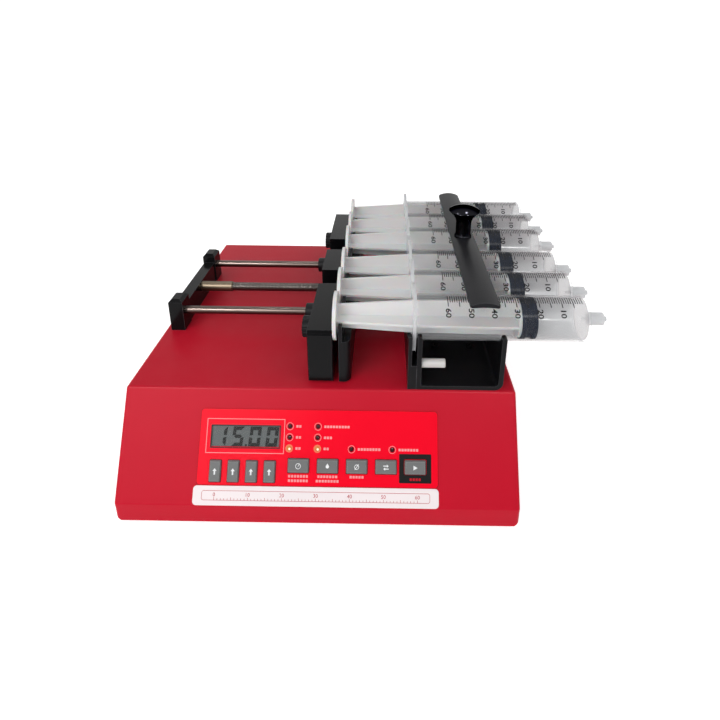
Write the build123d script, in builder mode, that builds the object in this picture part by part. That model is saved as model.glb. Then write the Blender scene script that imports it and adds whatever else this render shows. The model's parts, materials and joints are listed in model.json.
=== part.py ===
"""Six-channel bench syringe pump: folded case, sliding pusher bar, cradle and six loaded syringes.

Frame: +X from the end plate towards the luer tips, +Y from the control panel to the back, +Z up.
The origin is the middle of the overall box, on the plane the feet stand on. Lengths are in mm.
"""
import math
import os

from build123d import *

os.makedirs("parts", exist_ok=True)

# ---------------------------------------------------------------- driving dimensions
# case
case_width = 268.0
deck_depth = 232.0
slope_run = 38.0
slope_drop = 63.0
lip_height = 14.5
sheet = 1.6
past = 1.0
bend_radius = 2.2
lip_corner_cut = 3.0
tray_gap = 0.3
tray_flange = 12.0
foot_height = 4.0
foot_radius = 8.0
foot_inset = 24.0
foot_bevel = 1.2
screw_hole = 1.6
screw_shank = 1.5
sink_radius = 2.9
screw_head = 2.75
screw_head_height = 2.0
screw_socket = 1.25
side_screw_margin = 25.0

# syringes, 60 mL size
pitch = 36.0
middle_gap = 47.0
per_side = 3
axis_height = 45.5
barrel_radius = 15.65
bore_radius = 14.42
barrel_length = 119.0
shoulder = 2.0
shoulder_radius = 3.0
flange_thickness = 2.2
flange_height = 46.0
flange_width = 32.6
luer_radius = 4.4
luer_wall = 0.9
luer_length = 12.5
luer_depth = 7.0
luer_bore = 0.8
tip_root_radius = 2.1
tip_radius = 1.7
tip_length = 2.4
zero_mark = 115.4
rest_run = 30.3
stopper_length = 12.0
stopper_gap = 0.25
stopper_waist = 0.9
stopper_seal = 3.2
stopper_cone = 1.6
thumb_radius = 16.8
thumb_thickness = 2.4
rib = 1.8
rib_radius_thumb = 8.9
rib_radius_mouth = 12.6
rib_radius_stopper = 13.4
rib_taper_length = 52.0
stem_disc = 2.0

# cradle and flange stop
cradle_right_margin = 9.2
cradle_width = 59.3
cradle_height = 41.7
cradle_wall = 3.2
cradle_floor = 3.0
cradle_corner = 6.0
cradle_end_margin = 0.9
wall_rounding = 1.4
stop_rounding = 0.95
flange_slot = 3.6
flange_gap = 0.4
stop_plate = 2.4
spacer_height = 19.0
seat_gap = 0.15
press_gap = 0.05
stud_radius = 3.1
stud_length = 16.4
stud_height = 18.4
stud_from_end = 5.5
stud_bevel = 0.5
floor_screw_span = 70.0

# drive line
rod_radius = 3.175
rod_half_span = 41.4
rod_height = 14.8
screw_radius = 3.97
screw_height = 13.4
journal_radius = 2.38
running_fit = 0.08
loose_fit = 0.5
end_plate_station = 5.2
end_plate_thickness = 11.1
tower_depth = 14.7
tower_height = 27.5
tower_bevel = 2.4
web_height = 19.2
web_relief = 0.9
bush_radius = 4.4
bush_length = 33.4
bush_depth = 7.0
bush_bevel = 0.5
bearing_radius = 6.5
bearing_width = 5.0
bearing_race = 1.2
block_length = 9.0
block_half_width = 15.0
block_height = 27.0
block_corner = 4.0

# belt drive
belt_pitch = 2.032
screw_teeth = 28
motor_teeth = 15
tooth_depth = 0.5
pulley_width = 8.6
pulley_flange = 0.8
pulley_gap = 1.5
belt_width = 6.0
belt_thickness = 1.1
belt_gap = 0.3
belt_centres = 46.0
belt_slot_margin = 2.5
motor_side = 42.3
motor_length = 34.0
motor_corner = 4.0
motor_pilot_radius = 11.0
motor_pilot = 2.0
motor_screw_span = 31.0
shaft_radius = 2.5
bracket = 3.0
bracket_gap = 3.2
bracket_foot = 20.0
shaft_socket = 6.0
screw_bite = 5.0

# pusher and retainer
pusher_run = 74.7
pusher_width = 17.4
pusher_length = 220.0
pusher_height = 41.4
pusher_clearance = 1.5
notch_inner = 20.0
notch_outer = 43.1
notch_floor = 28.6
pusher_bevel = 2.3
edge_break = 0.7
collar_radius = 6.7
collar_thickness = 11.0
bushing_radius = 5.2
nut_radius = 6.0
nut_flange_radius = 8.5
nut_flange = 2.0
retainer_gap = 4.0
retainer = 2.4
retainer_top = 46.0
retainer_bar = 8.0
retainer_bar_height = 32.0
retainer_rounding = 5.0
retainer_slot_radius = 10.8
thumb_screw_offset = 77.5
thumb_screw_height = 24.5
thumb_screw_radius = 8.0
thumb_screw_head = 7.5
thumb_screw_shank = 2.0
thumb_screw_spare = 3.5
grips = 16
grip_depth = 0.5

# clamp over the barrels
clamp_margin = 24.5
clamp_width = 20.0
clamp_length = 222.0
clamp_edge = 1.8
clamp_crown = 2.4
clamp_hollow = 0.8
clamp_corner = 2.5
clamp_gap = 0.35
post_radius = 3.175
post_below_deck = 46.0
post_head_radius = 6.5
post_head = 3.0
guide_radius = 7.0
guide_height = 21.0
spring_radius = 5.2
spring_wire = 1.0
spring_turns = 6
knob_seat = 1.2
knob_base_radius = 7.2
knob_base = 1.5
knob_neck_radius = 6.4
knob_head_radius = 13.2
knob_flare_height = 4.0
knob_neck_height = 12.0
knob_rim_height = 24.0
knob_height = 28.0
knob_rim_rounding = 0.6
knob_bore_depth = 10.0

# control panel, measured down the slope from the fold
overlay_left = 53.5
overlay_right = 214.2
overlay_top = 13.3
overlay_bottom = 61.3
overlay_thickness = 0.5
overlay_corner = 2.5
window_left = 61.6
window_right = 107.3
window_top = 23.9
window_bottom = 37.4
module_margin = 3.0
module_depth = 5.0
board_depth = 9.0
board_thickness = 1.6
board_margin = 1.5
standoff_radius = 2.2
standoff_inset = 3.2
switch_body = 6.2
switch_body_height = 3.5
switch_button_radius = 1.75
lamp_left_column = 114.4
lamp_right_column = 133.3
lamp_left_single = 156.2
lamp_right_single = 183.5
lamp_row_first = 24.1
lamp_row_pitch = 6.93
lamp_radius = 1.5
lamp_gap = 0.1
lamp_rise = 0.9
lamp_flange = 1.9
lamp_base = 1.5
key_travel = 0.6
key_gap = 0.3
key_rise = 2.3
key_bevel = 0.9
key_taper = 40
key_corner = 0.8
skirt_gap = 0.3
window_seat = 1.0
key_skirt = 1.0
key_skirt_thickness = 1.0
digit_key_width = 7.6
digit_key_height = 13.2
digit_key_row = 52.3
digit_key_first = 65.9
digit_key_pitch = 12.05
menu_key_width = 14.0
menu_key_height = 8.6
menu_key_row = 48.4
menu_key_first = 121.1
menu_key_pitch = 19.43

# rear panel, measured from the case's left side and from the floor
rear_row = 24.0
inlet_x = 34.0
inlet_radius = 5.6
inlet_flange = 7.2
inlet_bore = 3.4
inlet_pin = 1.0
inlet_lip = 1.5
inlet_depth = 12.0
switch_x = 64.0
switch_width = 13.0
switch_height = 19.4
switch_bezel = 1.6
switch_bevel = 0.5
switch_depth = 14.0
rocker_gap = 0.35
rocker_width = 9.8
rocker_radius = 8.2
rocker_angle = 14.0
rocker_sink = 0.5
rocker_back = 3.0
rocker_front = 2.0
port_x = 102.0
port_spacing = 20.0
port_width = 13.4
port_height = 12.0
port_depth = 15.0
port_lip = 0.8
plug_width = 9.8
plug_height = 6.8
latch_width = 3.4
latch_height = 2.3
io_x = 160.0
io_flange_width = 30.8
io_flange_height = 12.6
io_flange = 0.9
io_shell_width = 16.9
io_shell_height = 8.3
io_shell_reach = 5.4
io_shell_angle = 80
io_depth = 10.0
io_corner = 1.2
io_wall = 0.5
io_pin = 0.5
io_pin_pitch = 2.77
io_pin_row = 1.42
io_post = 2.5
io_post_span = 25.0
io_post_height = 4.2

# ---------------------------------------------------------------- stations in the part's frame
case_height = slope_drop + lip_height
cradle_station = case_width - cradle_right_margin - cradle_width
flange_station = cradle_station - flange_slot + flange_gap
overall_length = flange_station + barrel_length + luer_length + tip_length
overall_depth = slope_run + deck_depth + io_shell_reach
case_left = -overall_length / 2
lip_front = -overall_depth / 2
fold_y = lip_front + slope_run
rear_y = fold_y + deck_depth
mid_y = fold_y + deck_depth / 2
floor_z = foot_height
deck_z = foot_height + case_height
axis_z = deck_z + axis_height

syringe_ys = [mid_y + side * (middle_gap / 2 + step * pitch)
              for side, step in [(-1, n) for n in reversed(range(per_side))]
              + [(1, n) for n in range(per_side)]]
cradle_x = case_left + cradle_station
wall_inner_x = cradle_x + cradle_wall
cradle_right_x = cradle_x + cradle_width
stop_x = cradle_x - flange_slot - stop_plate
flange_x = case_left + flange_station
shoulder_x = flange_x + barrel_length
collar_end_x = shoulder_x + luer_length
tip_x = collar_end_x + tip_length
end_plate_x = case_left + end_plate_station
rod_z = deck_z + rod_height
screw_z = deck_z + screw_height
rod_ys = [mid_y - rod_half_span, mid_y + rod_half_span]

stopper_front_x = flange_x + zero_mark - rest_run
stopper_back_x = stopper_front_x - stopper_length

pusher_x = cradle_x - pusher_run
pusher_face_x = pusher_x + pusher_width
retainer_x = pusher_face_x + retainer_gap
thumb_screw_ys = [mid_y - thumb_screw_offset, mid_y + thumb_screw_offset]

panel = Plane(origin=(case_left, fold_y, deck_z), x_dir=(1, 0, 0), z_dir=(0, -slope_drop, slope_run))


def finish(piece, name):
    """Names a finished sub-part and writes it."""
    piece.label = name
    export_step(piece, f"parts/{name}.step")


def side_plane(x):
    """A plane across the part at x, whose own axes are +Y and +Z."""
    return Plane(origin=(x, 0, 0), x_dir=(0, 1, 0), z_dir=(1, 0, 0))


# ---------------------------------------------------------------- controls' places on the panel
digit_keys = [(digit_key_first + n * digit_key_pitch, -digit_key_row) for n in range(4)]
menu_keys = [(menu_key_first + n * menu_key_pitch, -menu_key_row) for n in range(5)]
keys = [(f"key_digit_{n + 1}", at, digit_key_width, digit_key_height) for n, at in enumerate(digit_keys)]
menu_names = ["key_rate", "key_volume", "key_diameter", "key_direction", "key_start"]
keys += [(name, at, menu_key_width, menu_key_height) for name, at in zip(menu_names, menu_keys)]
lamp_rows = [lamp_row_first + n * lamp_row_pitch for n in range(3)]
lamps = [(x, -row) for x in (lamp_left_column, lamp_right_column) for row in lamp_rows]
lamps += [(x, -lamp_rows[-1]) for x in (lamp_left_single, lamp_right_single)]
window_centre = ((window_left + window_right) / 2, -(window_top + window_bottom) / 2)
window_size = (window_right - window_left, window_bottom - window_top)
board_size = (overlay_right - overlay_left - 2 * board_margin, overlay_bottom - overlay_top - 2 * board_margin)
overlay_centre = ((overlay_left + overlay_right) / 2, -(overlay_top + overlay_bottom) / 2)
belt_slot_x = wall_inner_x + block_length + pulley_gap + pulley_width / 2
clamp_x = case_left + case_width - clamp_margin
screw_pitch_radius = screw_teeth * belt_pitch / math.pi / 2
motor_pitch_radius = motor_teeth * belt_pitch / math.pi / 2
belt_slot_half = screw_pitch_radius + belt_thickness + belt_slot_margin
foot_places = [(case_left + x, y) for x in (foot_inset, case_width - foot_inset)
               for y in (lip_front + foot_inset, rear_y - foot_inset)]
side_screw_z = floor_z + tray_flange / 2 + sheet / 2
side_screw_ys = [fold_y + side_screw_margin, rear_y - side_screw_margin]
cradle_middle = cradle_x + cradle_width / 2
inner_width = cradle_width - 2 * cradle_wall
floor_screws = [(cradle_middle + way * inner_width / 4, mid_y + side * floor_screw_span)
                for way in (-1, 1) for side in (-1, 1)]

# ---------------------------------------------------------------- cover: lip, slope, deck and sides in one sheet
with BuildPart() as cover:
    with BuildSketch(side_plane(case_left)):
        with BuildLine():
            Polyline((lip_front, floor_z), (lip_front, floor_z + lip_height), (fold_y, deck_z),
                     (rear_y, deck_z), (rear_y, floor_z), close=True)
        make_face()
    extrude(amount=case_width)
    bent = cover.edges().filter_by(lambda e: e.center().Z > floor_z + sheet and e.center().Y < rear_y - sheet)
    fillet(bent, radius=bend_radius)
    offset(amount=-sheet, openings=[cover.faces().sort_by(Axis.Z)[0], cover.faces().sort_by(Axis.Y)[-1]])
    with BuildSketch(Plane(origin=(0, lip_front, 0), x_dir=(1, 0, 0), z_dir=(0, -1, 0)), mode=Mode.PRIVATE) as corners:
        with Locations((case_left, floor_z), (case_left + case_width, floor_z)):
            Rectangle(math.sqrt(2) * lip_corner_cut, math.sqrt(2) * lip_corner_cut, rotation=45)
    extrude(corners.sketch, amount=-bend_radius - sheet, mode=Mode.SUBTRACT)
    with BuildSketch(panel):
        for _, at, width, height in keys:
            with Locations(at):
                RectangleRounded(width + 2 * key_gap, height + 2 * key_gap, key_corner + key_gap)
        with Locations(window_centre):
            Rectangle(*window_size)
        with Locations(*lamps):
            Circle(lamp_radius + lamp_gap)
    extrude(amount=-2 * sheet, mode=Mode.SUBTRACT)
    with BuildSketch(Plane.XY.offset(deck_z)):
        with Locations((belt_slot_x, mid_y)):
            Rectangle(belt_width + 2 * belt_slot_margin, 2 * belt_slot_half)
        with Locations((clamp_x, mid_y)):
            Circle(post_radius + running_fit)
        with Locations(*floor_screws):
            Circle(screw_hole)
    extrude(amount=-2 * sheet, mode=Mode.SUBTRACT)
    for x, way in ((case_left, 1), (case_left + case_width, -1)):
        for y in side_screw_ys:
            with Locations(Plane(origin=(x, y, side_screw_z), z_dir=(-way, 0, 0))):
                CounterSinkHole(radius=screw_hole, counter_sink_radius=sink_radius, depth=3 * sheet)
finish(cover.part, "cover")

# ---------------------------------------------------------------- base tray with the rear panel
rear = Plane(origin=(case_left, rear_y, floor_z), x_dir=(-1, 0, 0), z_dir=(0, 1, 0))
tray_width = case_width - 2 * (sheet + tray_gap)
tray_front = lip_front + sheet + tray_gap
panel_height = case_height - sheet - tray_gap
with BuildPart() as base_tray:
    with BuildSketch(Plane.XY.offset(floor_z)):
        with Locations((case_left + case_width / 2, (tray_front + rear_y) / 2)):
            Rectangle(tray_width, rear_y - tray_front)
    extrude(amount=sheet)
    with BuildSketch(rear):
        with Locations((-case_width / 2, panel_height / 2)):
            Rectangle(tray_width, panel_height)
    extrude(amount=-sheet)
    with BuildSketch(Plane.XY.offset(floor_z)):
        for way in (-1, 1):
            x = case_left + case_width / 2 + way * (tray_width - sheet) / 2
            with Locations((x, (fold_y + rear_y) / 2)):
                Rectangle(sheet, rear_y - fold_y)
    extrude(amount=tray_flange)
    with BuildSketch(rear):
        with Locations((-inlet_x, rear_row)):
            Circle(inlet_radius + press_gap)
        with Locations((-switch_x, rear_row)):
            Rectangle(switch_width + 2 * press_gap, switch_height + 2 * press_gap)
        with Locations((-port_x, rear_row), (-port_x - port_spacing, rear_row)):
            Rectangle(port_width + 2 * press_gap, port_height + 2 * press_gap)
        with Locations((-io_x, rear_row)):
            Rectangle(io_shell_width + 2 * press_gap, io_shell_height + 2 * press_gap)
    extrude(amount=-2 * sheet, mode=Mode.SUBTRACT)
    for x, way in ((case_left, 1), (case_left + case_width, -1)):
        for y in side_screw_ys:
            with Locations(Plane(origin=(x, y, side_screw_z), z_dir=(-way, 0, 0))):
                Hole(radius=screw_hole, depth=4 * sheet)
finish(base_tray.part, "base_tray")

with BuildPart() as rubber_feet:
    with BuildSketch(Plane.XY):
        with Locations(*foot_places):
            Circle(foot_radius)
    extrude(amount=foot_height)
    chamfer(rubber_feet.edges().group_by(Axis.Z)[0], length=foot_bevel)
finish(rubber_feet.part, "rubber_feet")

with BuildPart() as cover_screws:
    for x, way in ((case_left, 1), (case_left + case_width, -1)):
        for y in side_screw_ys:
            with BuildSketch(Plane(origin=(x, y, side_screw_z), x_dir=(way, 0, 0), z_dir=(0, 1, 0))):
                with BuildLine():
                    Polyline((0, 0), (0, sink_radius - press_gap), (sheet - press_gap, screw_shank),
                             (4 * sheet, screw_shank), (4 * sheet, 0), close=True)
                make_face()
            revolve(axis=Axis((x, y, side_screw_z), (1, 0, 0)))
finish(cover_screws.part, "cover_screws")

# ---------------------------------------------------------------- rear connectors
with BuildPart() as power_inlet:
    with BuildSketch(rear):
        with Locations((-inlet_x, rear_row)):
            Circle(inlet_flange)
    extrude(amount=inlet_lip)
    with BuildSketch(rear):
        with Locations((-inlet_x, rear_row)):
            Circle(inlet_radius)
    extrude(amount=-inlet_depth)
    with BuildSketch(rear.offset(inlet_lip)):
        with Locations((-inlet_x, rear_row)):
            Circle(inlet_bore)
            Circle(inlet_pin, mode=Mode.SUBTRACT)
    extrude(amount=-inlet_depth + sheet, mode=Mode.SUBTRACT)
finish(power_inlet.part, "power_inlet")

with BuildPart() as power_switch_body:
    with BuildSketch(rear):
        with Locations((-switch_x, rear_row)):
            RectangleRounded(switch_width + 2 * switch_bezel, switch_height + 2 * switch_bezel, switch_bezel)
    extrude(amount=switch_bezel)
    chamfer(power_switch_body.faces().sort_by(Axis.Y)[-1].edges(), length=switch_bevel)
    with BuildSketch(rear):
        with Locations((-switch_x, rear_row)):
            Rectangle(switch_width, switch_height)
    extrude(amount=-switch_depth)
    with BuildSketch(rear.offset(switch_bezel)):
        with Locations((-switch_x, rear_row)):
            Rectangle(rocker_width + 2 * rocker_gap, 2 * (rocker_radius + rocker_gap))
    extrude(amount=-switch_bezel - rocker_radius, mode=Mode.SUBTRACT)
finish(power_switch_body.part, "power_switch_body")

rocker_y = rear_y - rocker_sink
rocker_roof = rocker_radius * math.tan(math.radians(rocker_angle / 2))
rocker_turn = Axis((0, rocker_y, floor_z + rear_row), (-1, 0, 0))
with BuildPart() as power_rocker:
    with BuildSketch(side_plane(case_left + switch_x - rocker_width / 2)):
        with Locations((rocker_y, floor_z + rear_row)):
            Circle(rocker_radius)
            Polygon((-rocker_back, -rocker_radius), (rocker_front + rocker_roof, -rocker_radius), (rocker_front, 0),
                    (rocker_front + rocker_roof, rocker_radius), (-rocker_back, rocker_radius),
                    align=None, mode=Mode.INTERSECT)
    extrude(amount=rocker_width)
resting_rocker = power_rocker.part.rotate(rocker_turn, rocker_angle / 2)
finish(resting_rocker, "power_rocker")

with BuildPart() as data_ports:
    ports = [(-port_x, rear_row), (-port_x - port_spacing, rear_row)]
    with BuildSketch(rear.offset(port_lip)):
        with Locations(*ports):
            Rectangle(port_width, port_height)
    extrude(amount=-port_depth)
    with BuildSketch(rear.offset(port_lip)):
        with Locations(*ports):
            Rectangle(plug_width, plug_height)
            with Locations((0, plug_height / 2)):
                Rectangle(latch_width, latch_height)
    extrude(amount=-port_depth + sheet, mode=Mode.SUBTRACT)
finish(data_ports.part, "data_ports")

with BuildPart() as io_connector:
    with BuildSketch(rear):
        with Locations((-io_x, rear_row)):
            RectangleRounded(io_flange_width, io_flange_height, io_flange)
    extrude(amount=io_flange)
    with BuildSketch(rear):
        with Locations((-io_x, rear_row)):
            Rectangle(io_shell_width, io_shell_height)
    extrude(amount=-io_depth)
    with BuildSketch(rear.offset(io_flange)) as shell:
        with Locations((-io_x, rear_row)):
            Trapezoid(io_shell_width, io_shell_height, io_shell_angle, rotation=180)
        fillet(shell.vertices(), radius=io_corner)
        offset(amount=-io_wall, mode=Mode.SUBTRACT)
    extrude(amount=io_shell_reach - io_flange)
    with BuildSketch(rear.offset(io_flange)):
        with Locations((-io_x, rear_row)):
            with Locations((0, io_pin_row)):
                with GridLocations(io_pin_pitch, 0, 5, 1):
                    Circle(io_pin)
            with Locations((0, -io_pin_row)):
                with GridLocations(io_pin_pitch, 0, 4, 1):
                    Circle(io_pin)
            with GridLocations(io_post_span, 0, 2, 1):
                RegularPolygon(io_post, 6)
    extrude(amount=io_post_height)
finish(io_connector.part, "io_connector")

# ---------------------------------------------------------------- control panel on the slope
overlay_size = (overlay_right - overlay_left, overlay_bottom - overlay_top)
under_cover = panel.offset(-sheet)
board_face = panel.offset(-board_depth)

with BuildPart() as control_overlay:
    with BuildSketch(panel):
        with Locations(overlay_centre):
            RectangleRounded(*overlay_size, overlay_corner)
        for _, at, width, height in keys:
            with Locations(at):
                RectangleRounded(width + 2 * key_gap, height + 2 * key_gap, key_corner + key_gap, mode=Mode.SUBTRACT)
        with Locations(window_centre):
            Rectangle(window_size[0] + 2 * window_seat + 2 * press_gap,
                      window_size[1] + 2 * window_seat + 2 * press_gap, mode=Mode.SUBTRACT)
        with Locations(*lamps):
            Circle(lamp_radius + lamp_gap, mode=Mode.SUBTRACT)
    extrude(amount=overlay_thickness)
finish(control_overlay.part, "control_overlay")

with BuildPart() as display_window:
    with BuildSketch(panel):
        with Locations(window_centre):
            Rectangle(window_size[0] + 2 * window_seat, window_size[1] + 2 * window_seat)
    extrude(amount=overlay_thickness)
finish(display_window.part, "display_window")

with BuildPart() as display_module:
    with BuildSketch(under_cover):
        with Locations(window_centre):
            Rectangle(window_size[0] + 2 * module_margin, window_size[1] + 2 * module_margin)
    extrude(amount=-module_depth)
    with BuildSketch(under_cover):
        with Locations(window_centre):
            Rectangle(window_size[0] - 2 * seat_gap, window_size[1] - 2 * seat_gap)
    extrude(amount=sheet - seat_gap)
finish(display_module.part, "display_module")

with BuildPart() as indicator_lamps:
    with BuildSketch(under_cover):
        with Locations(*lamps):
            Circle(lamp_flange)
    extrude(amount=-lamp_base)
    with BuildSketch(under_cover):
        with Locations(*lamps):
            Circle(lamp_radius)
    extrude(amount=sheet + lamp_rise)
    domes = indicator_lamps.edges().filter_by(lambda e: abs(panel.to_local_coords(e.center()).Z - lamp_rise) < lamp_gap)
    fillet(domes, radius=lamp_rise)
finish(indicator_lamps.part, "indicator_lamps")

with BuildPart() as control_board:
    with BuildSketch(board_face):
        with Locations(overlay_centre):
            Rectangle(*board_size)
    extrude(amount=-board_thickness)
finish(control_board.part, "control_board")

with BuildPart() as board_standoffs:
    with BuildSketch(board_face):
        with Locations(overlay_centre):
            with GridLocations(board_size[0] - 2 * standoff_inset, board_size[1] - 2 * standoff_inset, 2, 2):
                RegularPolygon(standoff_radius, 6)
    extrude(amount=board_depth - sheet)
finish(board_standoffs.part, "board_standoffs")

key_base = sheet + skirt_gap + key_skirt_thickness
with BuildPart() as key_switches:
    with BuildSketch(board_face):
        with Locations(*[at for _, at, _, _ in keys]):
            Rectangle(switch_body, switch_body)
    extrude(amount=switch_body_height)
    with BuildSketch(board_face):
        with Locations(*[at for _, at, _, _ in keys]):
            Circle(switch_button_radius)
    extrude(amount=board_depth - key_base - key_travel - key_gap)
finish(key_switches.part, "key_switches")

for name, at, width, height in keys:
    with BuildPart() as key:
        with BuildSketch(panel.offset(-key_base)):
            with Locations(at):
                RectangleRounded(width + 2 * key_skirt, height + 2 * key_skirt, key_corner)
        extrude(amount=key_skirt_thickness)
        with BuildSketch(panel.offset(-key_base)):
            with Locations(at):
                RectangleRounded(width, height, key_corner)
        extrude(amount=key_base + key_rise - key_bevel)
        with BuildSketch(panel.offset(key_rise - key_bevel)):
            with Locations(at):
                RectangleRounded(width, height, key_corner)
        extrude(amount=key_bevel, taper=key_taper)
    finish(key.part, name)

# ---------------------------------------------------------------- cradle, stop plate and what they carry
end_section = Plane(origin=(0, fold_y + cradle_end_margin, 0), x_dir=(-1, 0, 0), z_dir=(0, 1, 0))
cradle_length = deck_depth - 2 * cradle_end_margin
with BuildPart() as cradle:
    with BuildSketch(end_section):
        with Locations((-cradle_middle, deck_z + cradle_height / 2)):
            Rectangle(cradle_width, cradle_height)
        with Locations((-cradle_middle, deck_z + cradle_floor + cradle_height / 2)):
            Rectangle(inner_width, cradle_height, mode=Mode.SUBTRACT)
    extrude(amount=cradle_length)
    fillet(cradle.edges().filter_by(Axis.Y).group_by(Axis.Z)[-1], radius=wall_rounding)
    fillet(cradle.edges().filter_by(Axis.Y).group_by(Axis.Z)[0].sort_by(Axis.X)[-1], radius=cradle_corner)
    inner = cradle.edges().filter_by(Axis.Y).filter_by(lambda e: abs(e.center().Z - deck_z - cradle_floor) < seat_gap)
    fillet(inner.sort_by(Axis.X)[-1], radius=cradle_corner - cradle_wall)
    with BuildSketch(Plane.XY.offset(deck_z + cradle_floor)):
        with Locations((clamp_x, mid_y)):
            Circle(guide_radius)
    extrude(amount=guide_height)
    with BuildSketch(side_plane(cradle_x - past)):
        with Locations(*[(y, axis_z) for y in syringe_ys]):
            Circle(barrel_radius + seat_gap)
    extrude(amount=cradle_width + 2 * past, mode=Mode.SUBTRACT)
    with BuildSketch(side_plane(cradle_x - past)):
        with Locations(*[(y, rod_z) for y in rod_ys]):
            Circle(rod_radius + press_gap)
        with Locations((mid_y, screw_z)):
            Circle(screw_radius + loose_fit)
    extrude(amount=past + cradle_wall, mode=Mode.SUBTRACT)
    with BuildSketch(Plane.XY.offset(deck_z)):
        with Locations((belt_slot_x, mid_y)):
            Rectangle(belt_width + 2 * belt_slot_margin, 2 * belt_slot_half)
        with Locations(*floor_screws):
            Circle(screw_hole)
    extrude(amount=cradle_floor, mode=Mode.SUBTRACT)
    with BuildSketch(Plane.XY.offset(deck_z)):
        with Locations((clamp_x, mid_y)):
            Circle(post_radius + running_fit)
    extrude(amount=cradle_floor + guide_height, mode=Mode.SUBTRACT)
finish(cradle.part, "cradle")

with BuildPart() as flange_stop_plate:
    with BuildSketch(end_section):
        with Locations((-stop_x - stop_plate / 2, deck_z + cradle_height / 2)):
            Rectangle(stop_plate, cradle_height)
    extrude(amount=cradle_length)
    fillet(flange_stop_plate.edges().filter_by(Axis.Y).group_by(Axis.Z)[-1], radius=stop_rounding)
    with BuildSketch(end_section):
        with Locations((-cradle_x + flange_slot / 2, deck_z + spacer_height / 2)):
            Rectangle(flange_slot, spacer_height)
    extrude(amount=cradle_length)
    with BuildSketch(side_plane(stop_x)):
        with Locations(*[(y, axis_z) for y in syringe_ys]):
            Circle(barrel_radius + seat_gap)
        with Locations(*[(y, rod_z) for y in rod_ys]):
            Circle(rod_radius + press_gap)
        with Locations((mid_y, screw_z)):
            Circle(screw_radius + loose_fit)
    extrude(amount=stop_plate + flange_slot, mode=Mode.SUBTRACT)
finish(flange_stop_plate.part, "flange_stop_plate")

with BuildPart() as nylon_stud:
    with BuildSketch(side_plane(wall_inner_x)):
        with Locations((fold_y + stud_from_end, deck_z + stud_height)):
            Circle(stud_radius)
    extrude(amount=stud_length)
    chamfer(nylon_stud.edges().group_by(Axis.X)[-1], length=stud_bevel)
finish(nylon_stud.part, "nylon_stud")

# ---------------------------------------------------------------- end plate and guide rods
with BuildPart() as end_plate:
    for y in rod_ys:
        with BuildSketch(Plane.XY.offset(deck_z)):
            with Locations((end_plate_x + end_plate_thickness / 2, y)):
                Rectangle(end_plate_thickness, tower_depth)
        extrude(amount=tower_height)
    chamfer(end_plate.faces().group_by(Axis.Z)[-1].edges(), length=tower_bevel)
    with BuildSketch(Plane.XY.offset(deck_z)):
        with Locations((end_plate_x + end_plate_thickness / 2, mid_y)):
            Rectangle(end_plate_thickness - 2 * web_relief, 2 * rod_half_span - tower_depth)
    extrude(amount=web_height)
    with BuildSketch(side_plane(end_plate_x + end_plate_thickness)):
        with Locations(*[(y, rod_z) for y in rod_ys]):
            Circle(rod_radius + press_gap)
        with Locations((mid_y, screw_z)):
            Circle(bush_radius + press_gap)
    extrude(amount=-bush_depth, mode=Mode.SUBTRACT)
finish(end_plate.part, "end_plate")

rod_start_x = end_plate_x + end_plate_thickness - bush_depth
with BuildPart() as guide_rods:
    with BuildSketch(side_plane(rod_start_x)):
        with Locations(*[(y, rod_z) for y in rod_ys]):
            Circle(rod_radius)
    extrude(amount=wall_inner_x - rod_start_x)
finish(guide_rods.part, "guide_rods")

# ---------------------------------------------------------------- lead screw, its bearings and the belt drive
bush_end_x = rod_start_x + bush_length
with BuildPart() as screw_bush:
    with BuildSketch(side_plane(rod_start_x)):
        with Locations((mid_y, screw_z)):
            Circle(bush_radius)
            Circle(journal_radius + running_fit, mode=Mode.SUBTRACT)
    extrude(amount=bush_length)
    chamfer(screw_bush.edges().group_by(Axis.X)[-1].sort_by(SortBy.LENGTH)[-1], length=bush_bevel)
finish(screw_bush.part, "screw_bush")

block_end_x = wall_inner_x + block_length
bearing_x = block_end_x - bearing_width
pulley_x = block_end_x + pulley_gap
with BuildPart() as bearing_block:
    with BuildSketch(side_plane(wall_inner_x)) as profile:
        with Locations((mid_y, deck_z + cradle_floor + (block_height - cradle_floor) / 2)):
            Rectangle(2 * block_half_width, block_height - cradle_floor)
        fillet(profile.vertices().group_by(Axis.Y)[-1], radius=block_corner)
        with Locations((mid_y, screw_z)):
            Circle(screw_radius + loose_fit, mode=Mode.SUBTRACT)
    extrude(amount=block_length)
    with BuildSketch(side_plane(bearing_x)):
        with Locations((mid_y, screw_z)):
            Circle(bearing_radius + press_gap)
    extrude(amount=bearing_width, mode=Mode.SUBTRACT)
finish(bearing_block.part, "bearing_block")

with BuildPart() as screw_bearing:
    with BuildSketch(side_plane(bearing_x)):
        with Locations((mid_y, screw_z)):
            Circle(bearing_radius)
            Circle(journal_radius + running_fit, mode=Mode.SUBTRACT)
    extrude(amount=bearing_width)
    with BuildSketch(side_plane(bearing_x + bearing_width)):
        with Locations((mid_y, screw_z)):
            Circle(bearing_radius - bearing_race)
            Circle(journal_radius + bearing_race, mode=Mode.SUBTRACT)
    extrude(amount=-bearing_race / 2, mode=Mode.SUBTRACT)
finish(screw_bearing.part, "screw_bearing")

thread_start_x = bush_end_x + press_gap + running_fit
thread_end_x = bearing_x - press_gap
with BuildPart() as lead_screw:
    with BuildSketch(side_plane(rod_start_x + loose_fit)):
        with Locations((mid_y, screw_z)):
            Circle(journal_radius)
    extrude(amount=pulley_x + pulley_width - rod_start_x)
    with BuildSketch(side_plane(thread_start_x)):
        with Locations((mid_y, screw_z)):
            Circle(screw_radius)
    extrude(amount=thread_end_x - thread_start_x)
finish(lead_screw.part, "lead_screw")


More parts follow.
